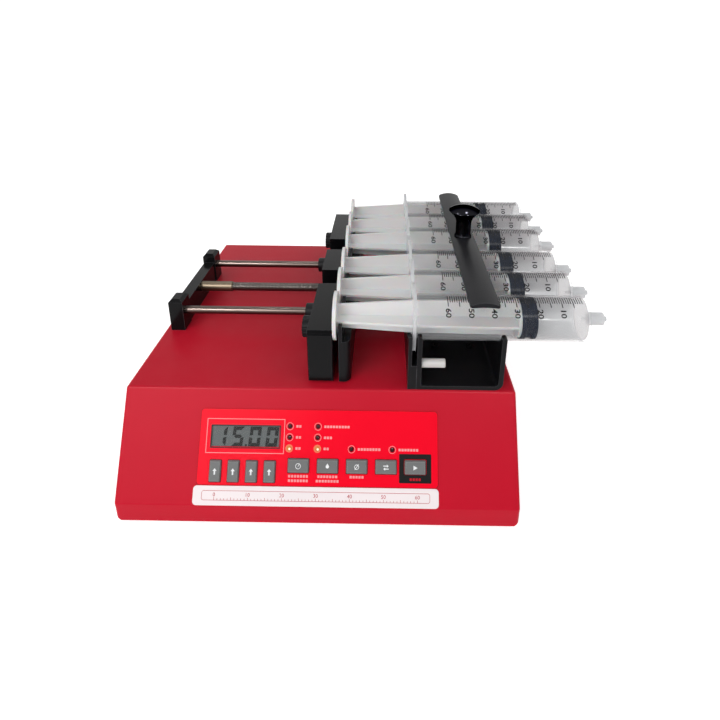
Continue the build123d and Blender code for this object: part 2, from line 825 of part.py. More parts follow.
def toothed_pulley(at_y, at_z, teeth, bore, name):
    """A belt pulley with a flange each side, on a shaft along X that starts at the pulley's own face."""
    tip = teeth * belt_pitch / math.pi / 2
    tooth_width = belt_pitch / 2
    with BuildPart() as pulley:
        with BuildSketch(side_plane(pulley_x)):
            with Locations((at_y, at_z)):
                Circle(tip)
                with PolarLocations(tip, teeth):
                    Rectangle(2 * tooth_depth, tooth_width, mode=Mode.SUBTRACT)
        extrude(amount=pulley_width)
        for x in (pulley_x, pulley_x + pulley_width - pulley_flange):
            with BuildSketch(side_plane(x)):
                with Locations((at_y, at_z)):
                    Circle(tip + belt_thickness)
            extrude(amount=pulley_flange)
        with BuildSketch(side_plane(pulley_x)):
            with Locations((at_y, at_z)):
                Circle(bore)
        extrude(amount=pulley_width, mode=Mode.SUBTRACT)
    finish(pulley.part, name)


motor_z = screw_z - belt_centres
toothed_pulley(mid_y, screw_z, screw_teeth, journal_radius + press_gap, "screw_pulley")
toothed_pulley(mid_y, motor_z, motor_teeth, shaft_radius + press_gap, "motor_pulley")

top_loop = screw_pitch_radius + belt_gap
bottom_loop = motor_pitch_radius + belt_gap
with BuildPart() as timing_belt:
    with BuildSketch(side_plane(belt_slot_x - belt_width / 2)):
        for grow, mode in ((belt_thickness, Mode.ADD), (0, Mode.SUBTRACT)):
            with BuildLine() as loop:
                lean = math.degrees(math.asin((top_loop - bottom_loop) / belt_centres))
                over = CenterArc((mid_y, screw_z), top_loop + grow, -lean, 180 + 2 * lean)
                under = CenterArc((mid_y, motor_z), bottom_loop + grow, 180 + lean, 180 - 2 * lean)
                Line(over @ 1, under @ 0)
                Line(under @ 1, over @ 0)
            make_face(mode=mode)
    extrude(amount=belt_width)
finish(timing_belt.part, "timing_belt")

bracket_x = pulley_x - bracket_gap - bracket
with BuildPart() as motor_bracket:
    with BuildSketch(side_plane(bracket_x)):
        with Locations((mid_y, (deck_z - sheet + motor_z - motor_side / 2) / 2)):
            Rectangle(motor_side, deck_z - sheet - motor_z + motor_side / 2)
    extrude(amount=bracket)
    with BuildSketch(Plane.XY.offset(deck_z - sheet)):
        with Locations((bracket_x - bracket_foot / 2, mid_y)):
            Rectangle(bracket_foot, motor_side)
    extrude(amount=-bracket)
    with BuildSketch(side_plane(bracket_x)):
        with Locations((mid_y, motor_z)):
            Circle(motor_pilot_radius + seat_gap)
            with GridLocations(motor_screw_span, motor_screw_span, 2, 2):
                Circle(screw_hole)
    extrude(amount=bracket, mode=Mode.SUBTRACT)
finish(motor_bracket.part, "motor_bracket")

with BuildPart() as motor_body:
    with BuildSketch(side_plane(bracket_x)):
        with Locations((mid_y, motor_z)):
            Rectangle(motor_side, motor_side)
    extrude(amount=-motor_length)
    chamfer(motor_body.edges().filter_by(Axis.X), length=motor_corner)
    with BuildSketch(side_plane(bracket_x)):
        with Locations((mid_y, motor_z)):
            Circle(motor_pilot_radius)
    extrude(amount=motor_pilot)
    with BuildSketch(side_plane(bracket_x + motor_pilot)):
        with Locations((mid_y, motor_z)):
            Circle(shaft_radius + running_fit)
            with GridLocations(motor_screw_span, motor_screw_span, 2, 2):
                Circle(screw_hole)
    extrude(amount=-motor_pilot - shaft_socket, mode=Mode.SUBTRACT)
finish(motor_body.part, "motor_body")

with BuildPart() as motor_shaft:
    with BuildSketch(side_plane(bracket_x - shaft_socket + seat_gap)):
        with Locations((mid_y, motor_z)):
            Circle(shaft_radius)
    extrude(amount=shaft_socket + bracket + bracket_gap + pulley_width)
finish(motor_shaft.part, "motor_shaft")

motor_screws = [(mid_y + across * motor_screw_span / 2, motor_z + up * motor_screw_span / 2)
                for across in (-1, 1) for up in (-1, 1)]
with BuildPart() as machine_screws:
    for plane, places, reach in ((Plane.XY.offset(deck_z + cradle_floor), floor_screws, cradle_floor + 2 * sheet),
                                 (side_plane(bracket_x + bracket), motor_screws, bracket + screw_bite)):
        with BuildSketch(plane):
            with Locations(*places):
                Circle(screw_head)
                RegularPolygon(screw_socket, 6, mode=Mode.SUBTRACT)
        extrude(amount=screw_head_height)
        with BuildSketch(plane):
            with Locations(*places):
                Circle(screw_shank)
        extrude(amount=-reach)
finish(machine_screws.part, "machine_screws")

# ---------------------------------------------------------------- pusher bar and what slides with it
pusher_bottom = deck_z + pusher_clearance
pusher_top = deck_z + pusher_height
with BuildPart() as pusher_bar:
    with BuildSketch(side_plane(pusher_x)) as outline:
        with Locations((mid_y, (pusher_bottom + pusher_top) / 2)):
            Rectangle(pusher_length, pusher_top - pusher_bottom)
        chamfer(outline.vertices().group_by(Axis.Y)[-1], length=pusher_bevel)
        for side in (-1, 1):
            with Locations((mid_y + side * (notch_inner + notch_outer) / 2, (deck_z + notch_floor + pusher_top) / 2)):
                Rectangle(notch_outer - notch_inner, pusher_top - deck_z - notch_floor, mode=Mode.SUBTRACT)
    extrude(amount=pusher_width)
    chamfer(pusher_bar.faces().sort_by(Axis.Y)[0].edges() + pusher_bar.faces().sort_by(Axis.Y)[-1].edges(),
            length=edge_break)
    with BuildSketch(side_plane(pusher_x)):
        with Locations(*[(y, rod_z) for y in rod_ys]):
            Circle(bushing_radius + press_gap)
        with Locations((mid_y, screw_z)):
            Circle(nut_radius + press_gap)
        with Locations(*[(y, deck_z + thumb_screw_height) for y in thumb_screw_ys]):
            Circle(thumb_screw_shank + running_fit)
    extrude(amount=pusher_width, mode=Mode.SUBTRACT)
finish(pusher_bar.part, "pusher_bar")

with BuildPart() as guide_bushes:
    for radius, start, reach in ((collar_radius, pusher_x - collar_thickness, collar_thickness),
                                 (bushing_radius, pusher_x, pusher_width)):
        with BuildSketch(side_plane(start)):
            with Locations(*[(y, rod_z) for y in rod_ys]):
                Circle(radius)
        extrude(amount=reach)
    chamfer(guide_bushes.edges().group_by(Axis.X)[0], length=edge_break)
    with BuildSketch(side_plane(pusher_x - collar_thickness)):
        with Locations(*[(y, rod_z) for y in rod_ys]):
            Circle(rod_radius + running_fit)
    extrude(amount=collar_thickness + pusher_width, mode=Mode.SUBTRACT)
finish(guide_bushes.part, "guide_bushes")

with BuildPart() as drive_nut:
    with BuildSketch(side_plane(pusher_x - nut_flange)):
        with Locations((mid_y, screw_z)):
            Circle(nut_flange_radius)
    extrude(amount=nut_flange)
    with BuildSketch(side_plane(pusher_x)):
        with Locations((mid_y, screw_z)):
            Circle(nut_radius)
    extrude(amount=pusher_width)
    with BuildSketch(side_plane(pusher_x - nut_flange)):
        with Locations((mid_y, screw_z)):
            Circle(screw_radius + running_fit)
    extrude(amount=nut_flange + pusher_width, mode=Mode.SUBTRACT)
finish(drive_nut.part, "drive_nut")

with BuildPart() as plunger_retainer:
    with BuildSketch(Plane.XY.offset(pusher_bottom)) as bar:
        with Locations((retainer_x + retainer_bar / 2, mid_y)):
            Rectangle(retainer_bar, pusher_length)
        fillet(bar.vertices().group_by(Axis.X)[-1], radius=retainer_rounding)
    extrude(amount=retainer_bar_height)
    with BuildSketch(side_plane(retainer_x)):
        with Locations((mid_y, (pusher_bottom + deck_z + retainer_top) / 2)):
            Rectangle(pusher_length, deck_z + retainer_top - pusher_bottom)
        with Locations(*[(y, axis_z) for y in syringe_ys]):
            Circle(retainer_slot_radius, mode=Mode.SUBTRACT)
    extrude(amount=retainer)
    with BuildSketch(side_plane(retainer_x)):
        with Locations(*[(y, rod_z) for y in rod_ys]):
            Circle(rod_radius + loose_fit)
        with Locations((mid_y, screw_z)):
            Circle(screw_radius + loose_fit)
        with Locations(*[(y, deck_z + thumb_screw_height) for y in thumb_screw_ys]):
            Circle(thumb_screw_shank + running_fit)
    extrude(amount=retainer_bar, mode=Mode.SUBTRACT)
finish(plunger_retainer.part, "plunger_retainer")

shank_end_x = retainer_x + retainer + thumb_screw_spare
for name, y in zip(("thumb_screw_front", "thumb_screw_rear"), thumb_screw_ys):
    with BuildPart() as thumb_screw:
        with BuildSketch(side_plane(pusher_x - seat_gap)):
            with Locations((y, deck_z + thumb_screw_height)):
                Circle(thumb_screw_radius)
                with PolarLocations(thumb_screw_radius + grip_depth, grips):
                    Circle(2 * grip_depth, mode=Mode.SUBTRACT)
        extrude(amount=-thumb_screw_head)
        chamfer(thumb_screw.faces().sort_by(Axis.X)[0].edges(), length=edge_break)
        with BuildSketch(side_plane(pusher_x - seat_gap)):
            with Locations((y, deck_z + thumb_screw_height)):
                Circle(thumb_screw_shank)
        extrude(amount=shank_end_x - pusher_x)
    finish(thumb_screw.part, name)

# ---------------------------------------------------------------- syringes
thumb_x = pusher_face_x + seat_gap
rib_start_x = thumb_x + thumb_thickness
inner_end_x = shoulder_x - shoulder
rib_places = ((rib_start_x, rib_radius_thumb), (rib_start_x + rib_taper_length, rib_radius_mouth),
              (stopper_back_x, rib_radius_stopper))
with BuildPart() as plunger_stems:
    for y in syringe_ys:
        upright = Plane(origin=(0, y, axis_z), x_dir=(1, 0, 0), z_dir=(0, -1, 0))
        flat = Plane(origin=(0, y, axis_z), x_dir=(1, 0, 0), z_dir=(0, 0, 1))
        for plane in (upright, flat):
            with BuildSketch(plane):
                Polygon(*rib_places, *[(x, -radius) for x, radius in reversed(rib_places)], align=None)
            extrude(amount=rib / 2, both=True)
        for x, radius, reach in ((thumb_x, thumb_radius, thumb_thickness),
                                 (stopper_back_x - stem_disc, rib_radius_stopper, stem_disc)):
            with BuildSketch(side_plane(x)):
                with Locations((y, axis_z)):
                    Circle(radius)
            extrude(amount=reach)
finish(plunger_stems.part, "plunger_stems")

seal_radius = bore_radius - stopper_gap
waist_radius = seal_radius - stopper_waist
with BuildPart() as plunger_stoppers:
    for y in syringe_ys:
        with BuildSketch(Plane(origin=(0, y, axis_z), x_dir=(1, 0, 0), z_dir=(0, -1, 0))):
            with BuildLine():
                Polyline((stopper_back_x, 0), (stopper_back_x, seal_radius),
                         (stopper_back_x + stopper_seal, seal_radius),
                         (stopper_back_x + stopper_seal + stopper_waist, waist_radius),
                         (stopper_front_x - stopper_cone - stopper_seal, waist_radius),
                         (stopper_front_x - stopper_cone - stopper_seal + stopper_waist, seal_radius),
                         (stopper_front_x - stopper_cone, seal_radius), (stopper_front_x, 0), close=True)
            make_face()
        revolve(axis=Axis((0, y, axis_z), (1, 0, 0)))
finish(plunger_stoppers.part, "plunger_stoppers")

for number, y in enumerate(syringe_ys, start=1):
    with BuildPart() as barrel:
        with BuildSketch(Plane(origin=(0, y, axis_z), x_dir=(1, 0, 0), z_dir=(0, -1, 0))):
            with BuildLine():
                Polyline((inner_end_x, bore_radius), (flange_x, bore_radius), (flange_x, barrel_radius),
                         (shoulder_x - shoulder_radius, barrel_radius))
                RadiusArc((shoulder_x - shoulder_radius, barrel_radius),
                          (shoulder_x, barrel_radius - shoulder_radius), shoulder_radius)
                Polyline((shoulder_x, barrel_radius - shoulder_radius), (shoulder_x, luer_radius),
                         (collar_end_x, luer_radius), (collar_end_x, luer_radius - luer_wall),
                         (collar_end_x - luer_depth, luer_radius - luer_wall),
                         (collar_end_x - luer_depth, tip_root_radius), (tip_x, tip_radius),
                         (tip_x, luer_bore), (inner_end_x, luer_bore), (inner_end_x, bore_radius))
            make_face()
        revolve(axis=Axis((0, y, axis_z), (1, 0, 0)))
        with BuildSketch(side_plane(flange_x)):
            with Locations((y, axis_z)):
                Circle(flange_height / 2)
                Rectangle(flange_width, flange_height, mode=Mode.INTERSECT)
                Circle(bore_radius, mode=Mode.SUBTRACT)
        extrude(amount=flange_thickness)
    finish(barrel.part, f"barrel_{number}")

# ---------------------------------------------------------------- clamp
bar_z = axis_z + barrel_radius + clamp_gap
bar_top_z = bar_z + clamp_edge + clamp_crown
seat_z = bar_top_z - knob_seat
post_bottom_z = deck_z - post_below_deck
post_top_z = seat_z + knob_bore_depth - seat_gap
with BuildPart() as clamp_bar:
    with BuildSketch(Plane(origin=(clamp_x, mid_y, bar_z), x_dir=(1, 0, 0), z_dir=(0, -1, 0))):
        half = clamp_width / 2
        with BuildLine():
            ThreePointArc((-half, 0), (0, clamp_hollow), (half, 0))
            Line((half, 0), (half, clamp_edge))
            ThreePointArc((half, clamp_edge), (0, clamp_edge + clamp_crown), (-half, clamp_edge))
            Line((-half, clamp_edge), (-half, 0))
        make_face()
    extrude(amount=clamp_length / 2, both=True)
    fillet(clamp_bar.edges().filter_by(Axis.Z), radius=clamp_corner)
    with BuildSketch(Plane.XY.offset(bar_z)):
        with Locations((clamp_x, mid_y)):
            Circle(post_radius + running_fit)
    extrude(amount=clamp_edge + clamp_crown, mode=Mode.SUBTRACT)
    with BuildSketch(Plane.XY.offset(seat_z)):
        with Locations((clamp_x, mid_y)):
            Circle(knob_base_radius + seat_gap)
    extrude(amount=knob_seat, mode=Mode.SUBTRACT)
finish(clamp_bar.part, "clamp_bar")

with BuildPart() as clamp_knob:
    with BuildSketch(Plane(origin=(clamp_x, mid_y, seat_z), x_dir=(1, 0, 0), z_dir=(0, -1, 0))):
        with BuildLine():
            Line((0, 0), (knob_base_radius, 0))
            Line((knob_base_radius, 0), (knob_base_radius, knob_base))
            Spline((knob_base_radius, knob_base), (knob_neck_radius, knob_flare_height), tangents=((-1, 1), (0, 1)))
            Line((knob_neck_radius, knob_flare_height), (knob_neck_radius, knob_neck_height))
            Spline((knob_neck_radius, knob_neck_height), (knob_head_radius, knob_rim_height),
                   tangents=((0, 1), (1, 1.2)))
            TangentArc((0, knob_height), (knob_head_radius, knob_rim_height), tangent=(1, 0))
            Line((0, knob_height), (0, 0))
        make_face()
    revolve(axis=Axis((clamp_x, mid_y, seat_z), (0, 0, 1)))
    fillet(clamp_knob.edges().sort_by(lambda e: -e.length)[0], radius=knob_rim_rounding)
    with BuildSketch(Plane.XY.offset(seat_z)):
        with Locations((clamp_x, mid_y)):
            Circle(post_radius + running_fit)
    extrude(amount=knob_bore_depth, mode=Mode.SUBTRACT)
finish(clamp_knob.part, "clamp_knob")

with BuildPart() as clamp_post:
    with BuildSketch(Plane.XY.offset(post_bottom_z)):
        with Locations((clamp_x, mid_y)):
            Circle(post_head_radius)
    extrude(amount=post_head)
    with BuildSketch(Plane.XY.offset(post_bottom_z)):
        with Locations((clamp_x, mid_y)):
            Circle(post_radius)
    extrude(amount=post_top_z - post_bottom_z)
finish(clamp_post.part, "clamp_post")

spring_bottom_z = post_bottom_z + post_head + seat_gap
spring_height = deck_z - sheet - seat_gap - spring_bottom_z
with BuildPart() as clamp_spring:
    with BuildLine():
        coil = Helix(pitch=(spring_height - spring_wire) / spring_turns, height=spring_height - spring_wire,
                     radius=spring_radius - spring_wire / 2,
                     center=(clamp_x, mid_y, spring_bottom_z + spring_wire / 2))
    with BuildSketch(Plane(origin=coil @ 0, x_dir=(1, 0, 0), z_dir=coil % 0)):
        Rectangle(spring_wire, spring_wire)
    sweep(is_frenet=True)
finish(clamp_spring.part, "clamp_spring")
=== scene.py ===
"""Looks for a six-channel bench syringe pump, laid out as an add-on and run as a script.

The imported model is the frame: its pieces keep their shapes and get their finishes here, and the prints,
scales, digits and threads that sit on them are worked out as surfaces and made to ride on their bodies.
Lengths are in metres, +X towards the syringes' tips, +Y to the back, +Z up.
"""
import json
import math

import bpy
import numpy as np
from bpy.props import FloatProperty, FloatVectorProperty, IntProperty, PointerProperty, StringProperty
from mathutils import Matrix, Vector


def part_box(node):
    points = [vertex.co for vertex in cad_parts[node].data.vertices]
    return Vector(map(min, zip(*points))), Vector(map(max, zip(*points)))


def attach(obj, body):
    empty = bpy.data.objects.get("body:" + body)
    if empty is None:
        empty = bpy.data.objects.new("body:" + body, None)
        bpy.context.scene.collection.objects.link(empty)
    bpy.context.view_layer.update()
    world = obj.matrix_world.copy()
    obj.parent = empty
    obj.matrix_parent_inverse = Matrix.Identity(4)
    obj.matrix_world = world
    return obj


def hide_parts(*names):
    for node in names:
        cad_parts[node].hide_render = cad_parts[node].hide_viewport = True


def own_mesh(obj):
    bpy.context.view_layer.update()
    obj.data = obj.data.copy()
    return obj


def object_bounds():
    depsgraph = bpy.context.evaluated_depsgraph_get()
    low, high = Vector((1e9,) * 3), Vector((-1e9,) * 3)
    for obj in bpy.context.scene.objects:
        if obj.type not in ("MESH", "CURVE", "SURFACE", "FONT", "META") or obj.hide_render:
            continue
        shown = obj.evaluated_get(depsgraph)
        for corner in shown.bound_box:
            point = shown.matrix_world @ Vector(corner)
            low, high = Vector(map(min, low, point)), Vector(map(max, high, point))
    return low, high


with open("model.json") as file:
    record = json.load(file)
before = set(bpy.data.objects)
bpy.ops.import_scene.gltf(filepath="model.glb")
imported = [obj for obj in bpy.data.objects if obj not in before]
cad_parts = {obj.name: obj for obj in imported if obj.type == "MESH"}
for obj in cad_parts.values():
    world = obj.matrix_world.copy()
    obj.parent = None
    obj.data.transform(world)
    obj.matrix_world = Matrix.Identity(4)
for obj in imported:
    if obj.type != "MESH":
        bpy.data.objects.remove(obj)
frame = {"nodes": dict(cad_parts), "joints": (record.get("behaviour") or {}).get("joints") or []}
CAD_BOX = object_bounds()

bl_info = {
    "name": "Syringe pump finishes",
    "version": (1, 0, 0),
    "blender": (4, 5, 0),
    "location": "View3D > Sidebar > Syringe Pump",
    "description": "Finishes, prints, scales and threads for a six-channel bench syringe pump",
    "category": "Object",
}

MM = 0.001

# how far print stands off and how thick it is, a hair's width between two surfaces, and the radius of a
# ring of points that closes a pole
PRINT_LIFT = 0.03 * MM
PRINT_THICKNESS = 0.04 * MM
HAIR = 0.01 * MM
POLE_RADIUS = 1e-6

# corner radii of the window, the black field inside and outside, a key, the painted shadow line round it and
# the ruler's frame
WINDOW_CORNER = 0.8 * MM
FIELD_INNER_CORNER = 1.0 * MM
FIELD_CORNER = 0.6 * MM
KEY_CORNER = 0.5 * MM
GAP_CORNER = 0.6 * MM
RULER_CORNER = 1.2 * MM

# how far the black field reaches under its key, how far the painted shadow rim stays inside the overlay's
# edge, the level above the overlay where only keys' caps are, and how wide the painted shadow in the gap
# round a key is on its left, bottom, right and top, in gap widths
FIELD_TUCK = 0.5 * MM
RIM_INSET = 0.1 * MM
CAP_LEVEL = 0.4 * MM
GAP_SHADOW_SHARES = (1.0, 1.6, 0.6, 0.6)

# how strongly plastic bends light, the colour of dust, and the colour of black edges, partly rubbed wear and
# partly painted highlight
PLASTIC_IOR = 1.49
DUST = (0.55, 0.52, 0.50)
RUBBED_AND_HIGHLIT_BLACK = (0.10, 0.10, 0.11)

# a barrel's parts, from its flange's outer face, and the radius midway through its wall
BEHIND_FLANGE = 10 * MM
FLANGE_END = 2.3 * MM
BORE_END = 115.5 * MM
CONE_START = 118.0 * MM
TIP_START = 121.5 * MM
WALL_MIDDLE = 15.0 * MM

# how cloudy those parts are, as alpha, and the share of the light that passes into the bore
NEAR_WALL = 0.025
STEEP_WALL = 0.5
FAR_WALL = 0.65
FAR_END = 0.49
SIDE_LOSS = 0.62
FLANGE_CLOUD = 0.72
CONE_CLOUD = 0.02
TIP_CLOUD = 0.25
LIGHT_PASSED = 0.8

BARRELS = [f"barrel_{n}" for n in range(1, 7)]
DIGIT_KEYS = [f"key_digit_{n}" for n in range(1, 5)]
MENU_KEYS = ["key_rate", "key_volume", "key_diameter", "key_direction", "key_start"]
RULER_LINES = 61

# the blocks of a mark, beside each lamp, in each row under a key and on the black field; the lit lamps
LAMP_MARKS = (2, 2, 2, 9, 3, 2, 8, 7)
KEY_MARKS = {"key_rate": (7, 7), "key_volume": (7, 8), "key_diameter": (5,)}
FIELD_MARK = 4
LIT_LAMPS = (2, 5)


# ------------------------------ places read from the frame
def joint_axis(name):
    """The unit axis of a joint of the frame."""
    return Vector(next(joint["axis"] for joint in frame["joints"] if joint["name"] == name)).normalized()


def mesh_points(mesh):
    """The vertices of a mesh as an (n, 3) array."""
    points = np.empty(len(mesh.vertices) * 3, np.float32)
    mesh.vertices.foreach_get("co", points)
    return points.reshape(-1, 3).astype(float)


def node_points(name):
    """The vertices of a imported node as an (n, 3) array."""
    return mesh_points(frame["nodes"][name].data)


def extent(points):
    """The lowest and the highest corner of points."""
    return points.min(axis=0), points.max(axis=0)


PANEL_OUT = -joint_axis("key_rate_press")
PANEL_RIGHT = Vector((1.0, 0.0, 0.0))
PANEL_UP = PANEL_OUT.cross(PANEL_RIGHT)
PANEL_AXES = np.array([PANEL_RIGHT, -PANEL_UP, PANEL_OUT])
OVERLAY_LOW, OVERLAY_HIGH = extent(node_points("control_overlay") @ PANEL_AXES.T)
PANEL_CORNER = np.array([OVERLAY_LOW[0], OVERLAY_LOW[1], OVERLAY_HIGH[2]])


def panel_coordinates(points):
    """Right, down and out coordinates of points, from the overlay's upper left corner on its outer face."""
    return points @ PANEL_AXES.T - PANEL_CORNER


def panel_points(right, down, out):
    """Points on the control panel from their right, down and out coordinates, in the frame."""
    return (np.stack(np.broadcast_arrays(right, down, out), axis=-1) + PANEL_CORNER) @ PANEL_AXES


def panel_box(name):
    """Lowest and highest right, down and out coordinates of a node on the panel."""
    return extent(panel_coordinates(node_points(name)))


# ------------------------------ sizes and colours that a user would change
def length(name, description, millimetres):
    """A length property, given in millimetres and kept in metres."""
    return FloatProperty(name=name, description=description, default=millimetres * MM, min=0.0, unit="LENGTH",
                         precision=4)


def angle(name, description, degrees):
    """An angle property, given in degrees and kept in radians."""
    return FloatProperty(name=name, description=description, default=math.radians(degrees), unit="ROTATION")


def number(name, description, value):
    """A plain number property."""
    return FloatProperty(name=name, description=description, default=value)


def colour(name, description, value):
    """A linear colour property."""
    return FloatVectorProperty(name=name, description=description, default=value, size=3, subtype="COLOR",
                               min=0.0, max=1.0)


class SyringePumpPrint(bpy.types.PropertyGroup):
    """Sizes of the print on the control panel and of the strip under it."""
    frame_left: length("Display frame left", "From the overlay's left edge to the frame line", 4.8)
    frame_right: length("Display frame right", "From the overlay's left edge to the right line", 57.4)
    frame_top: length("Display frame top", "From the overlay's top edge to the frame line", 6.4)
    frame_bottom: length("Display frame bottom", "From the overlay's top edge to the lower line", 28.2)
    frame_line: length("Display frame line", "Width of the line around the display", 0.42)
    # painted shadow: the dark line along the overlay's edge
    rim_line: length("Overlay rim", "Width of the dark line along the overlay's edge", 0.35)
    rim_corner: length("Overlay rim corner", "Corner radius of the dark line", 2.2)
    # painted shadow inside the window's edge
    surround: length("Display surround", "Width of the dark edge inside the window", 0.75)
    window_top: length("Window rim top", "Width of the red rim along the window's top", 0.75)
    window_left: length("Window rim left", "Width of the red rim along the window's left side", 0.6)
    # painted shadow in the gap round a key
    key_gap: length("Key gap", "Width of the dark gap line around a key", 0.38)
    ring_inner: length("Lamp ring inside", "Inner radius of the ring around a lamp", 2.1)
    ring_outer: length("Lamp ring outside", "Outer radius of the ring around a lamp", 2.42)
    mark_pitch: length("Mark pitch", "From one block of a mark to the next", 1.95)
    mark_width: length("Mark width", "Width of a block of a mark", 1.45)
    mark_height: length("Mark height", "Height of a block of a mark", 1.55)
    mark_row: length("Mark row", "From one row of a mark to the next", 2.75)
    mark_reach: length("Mark place", "From a lamp's middle to its mark", 4.2)
    mark_below: length("Mark below", "From a key's lower edge to the middle of its mark", 1.35)
    stop_margin: length("Black field margin", "How far the black field stands out around the start key", 2.7)
    stop_below: length("Black field below", "How far the black field reaches below the start key", 4.6)
    icon_height: length("Icon height", "Height of the signs on the keys", 3.6)
    strip_left: length("Strip left", "From the overlay's left edge to the strip, to the left", 1.5)
    strip_width: length("Strip width", "Width of the white strip", 162.3)
    strip_top: length("Strip top", "From the overlay's top edge to the strip's top edge", 48.3)
    strip_height: length("Strip height", "Height of the white strip", 11.9)
    strip_radius: length("Strip corner", "Corner radius of the white strip", 2.4)
    strip_thickness: length("Strip thickness", "Thickness of the white strip", 0.25)


class SyringePumpScale(bpy.types.PropertyGroup):
    """Sizes of the printed scales on the barrels."""
    zero: length("Zero line", "From the flange's face to the zero line", 115.4)
    step: length("Millilitre", "Length of one millilitre of scale", 1.53)
    volume: IntProperty(name="Full volume", description="Millilitres at the last line", default=60, min=10)
    line: length("Line width", "Width of a scale line", 0.58)
    short_line: length("Short line", "Length of a one-millilitre line around the barrel", 6.2)
    long_line: length("Long line", "Length of a five-millilitre line around the barrel", 9.4)
    line_angle: angle("Scale place", "Where the lines start, up from the front of the barrel", 92.0)
    digit_angle: angle("Numeral place", "Where the numerals stand, up from the front of the barrel", 41.0)
    digit_height: length("Numeral height", "Height of a numeral", 3.8)
    digit_stretch: number("Numeral width", "How much wider than plain a numeral is", 1.25)


class SyringePumpThread(bpy.types.PropertyGroup):
    """Sizes of the lead screw's thread."""
    pitch: length("Pitch", "Travel of the nut in one turn", 1.27)
    depth: length("Depth", "Depth of the thread under the screw's outer radius", 0.7)
    runout: number("Run-out", "How deep the thread's ends are, in thread depths", 0.4)
    sides: IntProperty(name="Sides", description="Faces around one turn", default=24, min=8)


class SyringePumpColours(bpy.types.PropertyGroup):
    """Colours of the finishes."""
    case: colour("Case paint", "Textured crimson paint", (0.54, 0.003, 0.020))
    overlay: colour("Overlay", "Printed red film", (0.92, 0.002, 0.020))
    print_pale: colour("Print", "Pale pink lines and marks", (0.92, 0.32, 0.34))
    # painted shadow: the dark line along the overlay's edge, and, darker, the line round the keys
    print_dark: colour("Dark print", "Dark line along the overlay's edge", (0.22, 0.002, 0.008))
    black: colour("Black parts", "Black anodised and painted parts", (0.0030, 0.0030, 0.0036))
    keys: colour("Keys", "Grey moulded keys", (0.145, 0.150, 0.150))
    key_ink: colour("Key signs", "Pale signs on the keys", (0.82, 0.83, 0.84))
    display: colour("Display", "Reflective display", (0.125, 0.138, 0.138))
    barrel: colour("Barrel", "Natural polypropylene", (0.64, 0.65, 0.665))
    barrel_edge: colour("Barrel edge", "Polypropylene seen edge on", (0.84, 0.85, 0.87))
    stem: colour("Plunger", "White plunger stems", (0.72, 0.72, 0.72))
    stopper: colour("Stopper", "Rubber stoppers", (0.007, 0.013, 0.030))
    steel: colour("Steel", "Ground steel", (0.44, 0.39, 0.36))
    rods: colour("Rods", "Hardened guide rods", (0.100, 0.077, 0.068))
    bronze: colour("Bronze", "Sintered bronze bush", (0.145, 0.115, 0.082))
    strip: colour("Strip", "White strip under the overlay", (0.88, 0.80, 0.81))
    strip_ink: colour("Strip ink", "Ruler lines on the strip", (0.50, 0.05, 0.06))
    lamp: colour("Lit lamp", "Glow of a lit lamp", (1.0, 0.36, 0.07))


class SyringePumpStudio(bpy.types.PropertyGroup):
    """Camera and lights."""
    lens: number("Lens", "Focal length on a 36 mm sensor, in millimetres", 25.86)
    shift_x: number("Shift X", "Sideways shift of the view", -0.0293)
    shift_y: number("Shift Y", "Upward shift of the view", -0.2268)
    right: length("Camera right", "From the case's left side", 176.4)
    ahead: length("Camera ahead", "Towards the viewer from the fold between slope and deck", 290.1)
    above: length("Camera above", "Above the deck", 242.2)
    yaw: angle("Yaw", "Turn about the upright axis", -0.42)
    pitch: angle("Pitch", "Tilt below the horizon", 19.33)
    roll: angle("Roll", "Turn about the line of sight", 0.54)
    key_power: number("Key light", "Power of the large soft light, in watts", 9.5)
    fill_power: number("Fill light", "Power of the second light, in watts", 2.5)
    sparkle: number("Sparkle", "Power of a small light that only gloss shows, in watts", 6.0)
    world: number("World light", "Strength of the even light all round", 0.47)
    front: number("Front reflection", "How bright gloss shows the room in front", 0.25)
    floor: number("Floor glow", "How much the floor is brightened where it is seen", 0.66)


GROUPS = {
    "pump_print": SyringePumpPrint,
    "pump_scale": SyringePumpScale,
    "pump_thread": SyringePumpThread,
    "pump_colours": SyringePumpColours,
    "pump_studio": SyringePumpStudio,
}


# ------------------------------ meshes
def add_piece(name, body, parts, material, smooth=False):
    """Joins (vertices, faces) parts into one mesh object, finishes it and lets it ride on a body."""
    starts = np.cumsum([0] + [len(vertices) for vertices, _ in parts])
    vertices = np.concatenate([vertices for vertices, _ in parts])
    faces = [(np.asarray(face) + start).tolist() for (_, part), start in zip(parts, starts) for face in part]
    mesh = bpy.data.meshes.new(name)
    mesh.from_pydata(vertices.tolist(), [], faces)
    mesh.polygons.foreach_set("use_smooth", np.full(len(mesh.polygons), smooth))
    mesh.validate()
    piece = bpy.data.objects.new(name, mesh)
    bpy.context.scene.collection.objects.link(piece)
    mesh.materials.append(material)
    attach(piece, body)
    return piece


def ring_faces(rows, columns, close_rows=True):
    """Faces of a grid whose columns close on themselves, and whose rows do too if asked."""
    row = np.arange(rows if close_rows else rows - 1)[:, None]
    column = np.arange(columns)
    after = (column + 1) % columns
    below = (row + 1) % rows * columns
    corners = [row * columns + column, row * columns + after, below + after, below + column]
    return np.stack(corners, axis=-1).reshape(-1, 4).tolist()


def tube(grid, clockwise=False):
    """A closed tube over a grid of points, row after row along it, with a flat cap on its two end rows.

    The rows run counter-clockwise as seen from the last one, unless clockwise says otherwise."""
    rows, columns = grid.shape[:2]
    last = (rows - 1) * columns
    faces = ring_faces(rows, columns, close_rows=False)
    faces += [list(range(columns))[::-1], list(range(last, last + columns))]
    if clockwise:
        faces = [face[::-1] for face in faces]
    return grid.reshape(-1, 3), faces


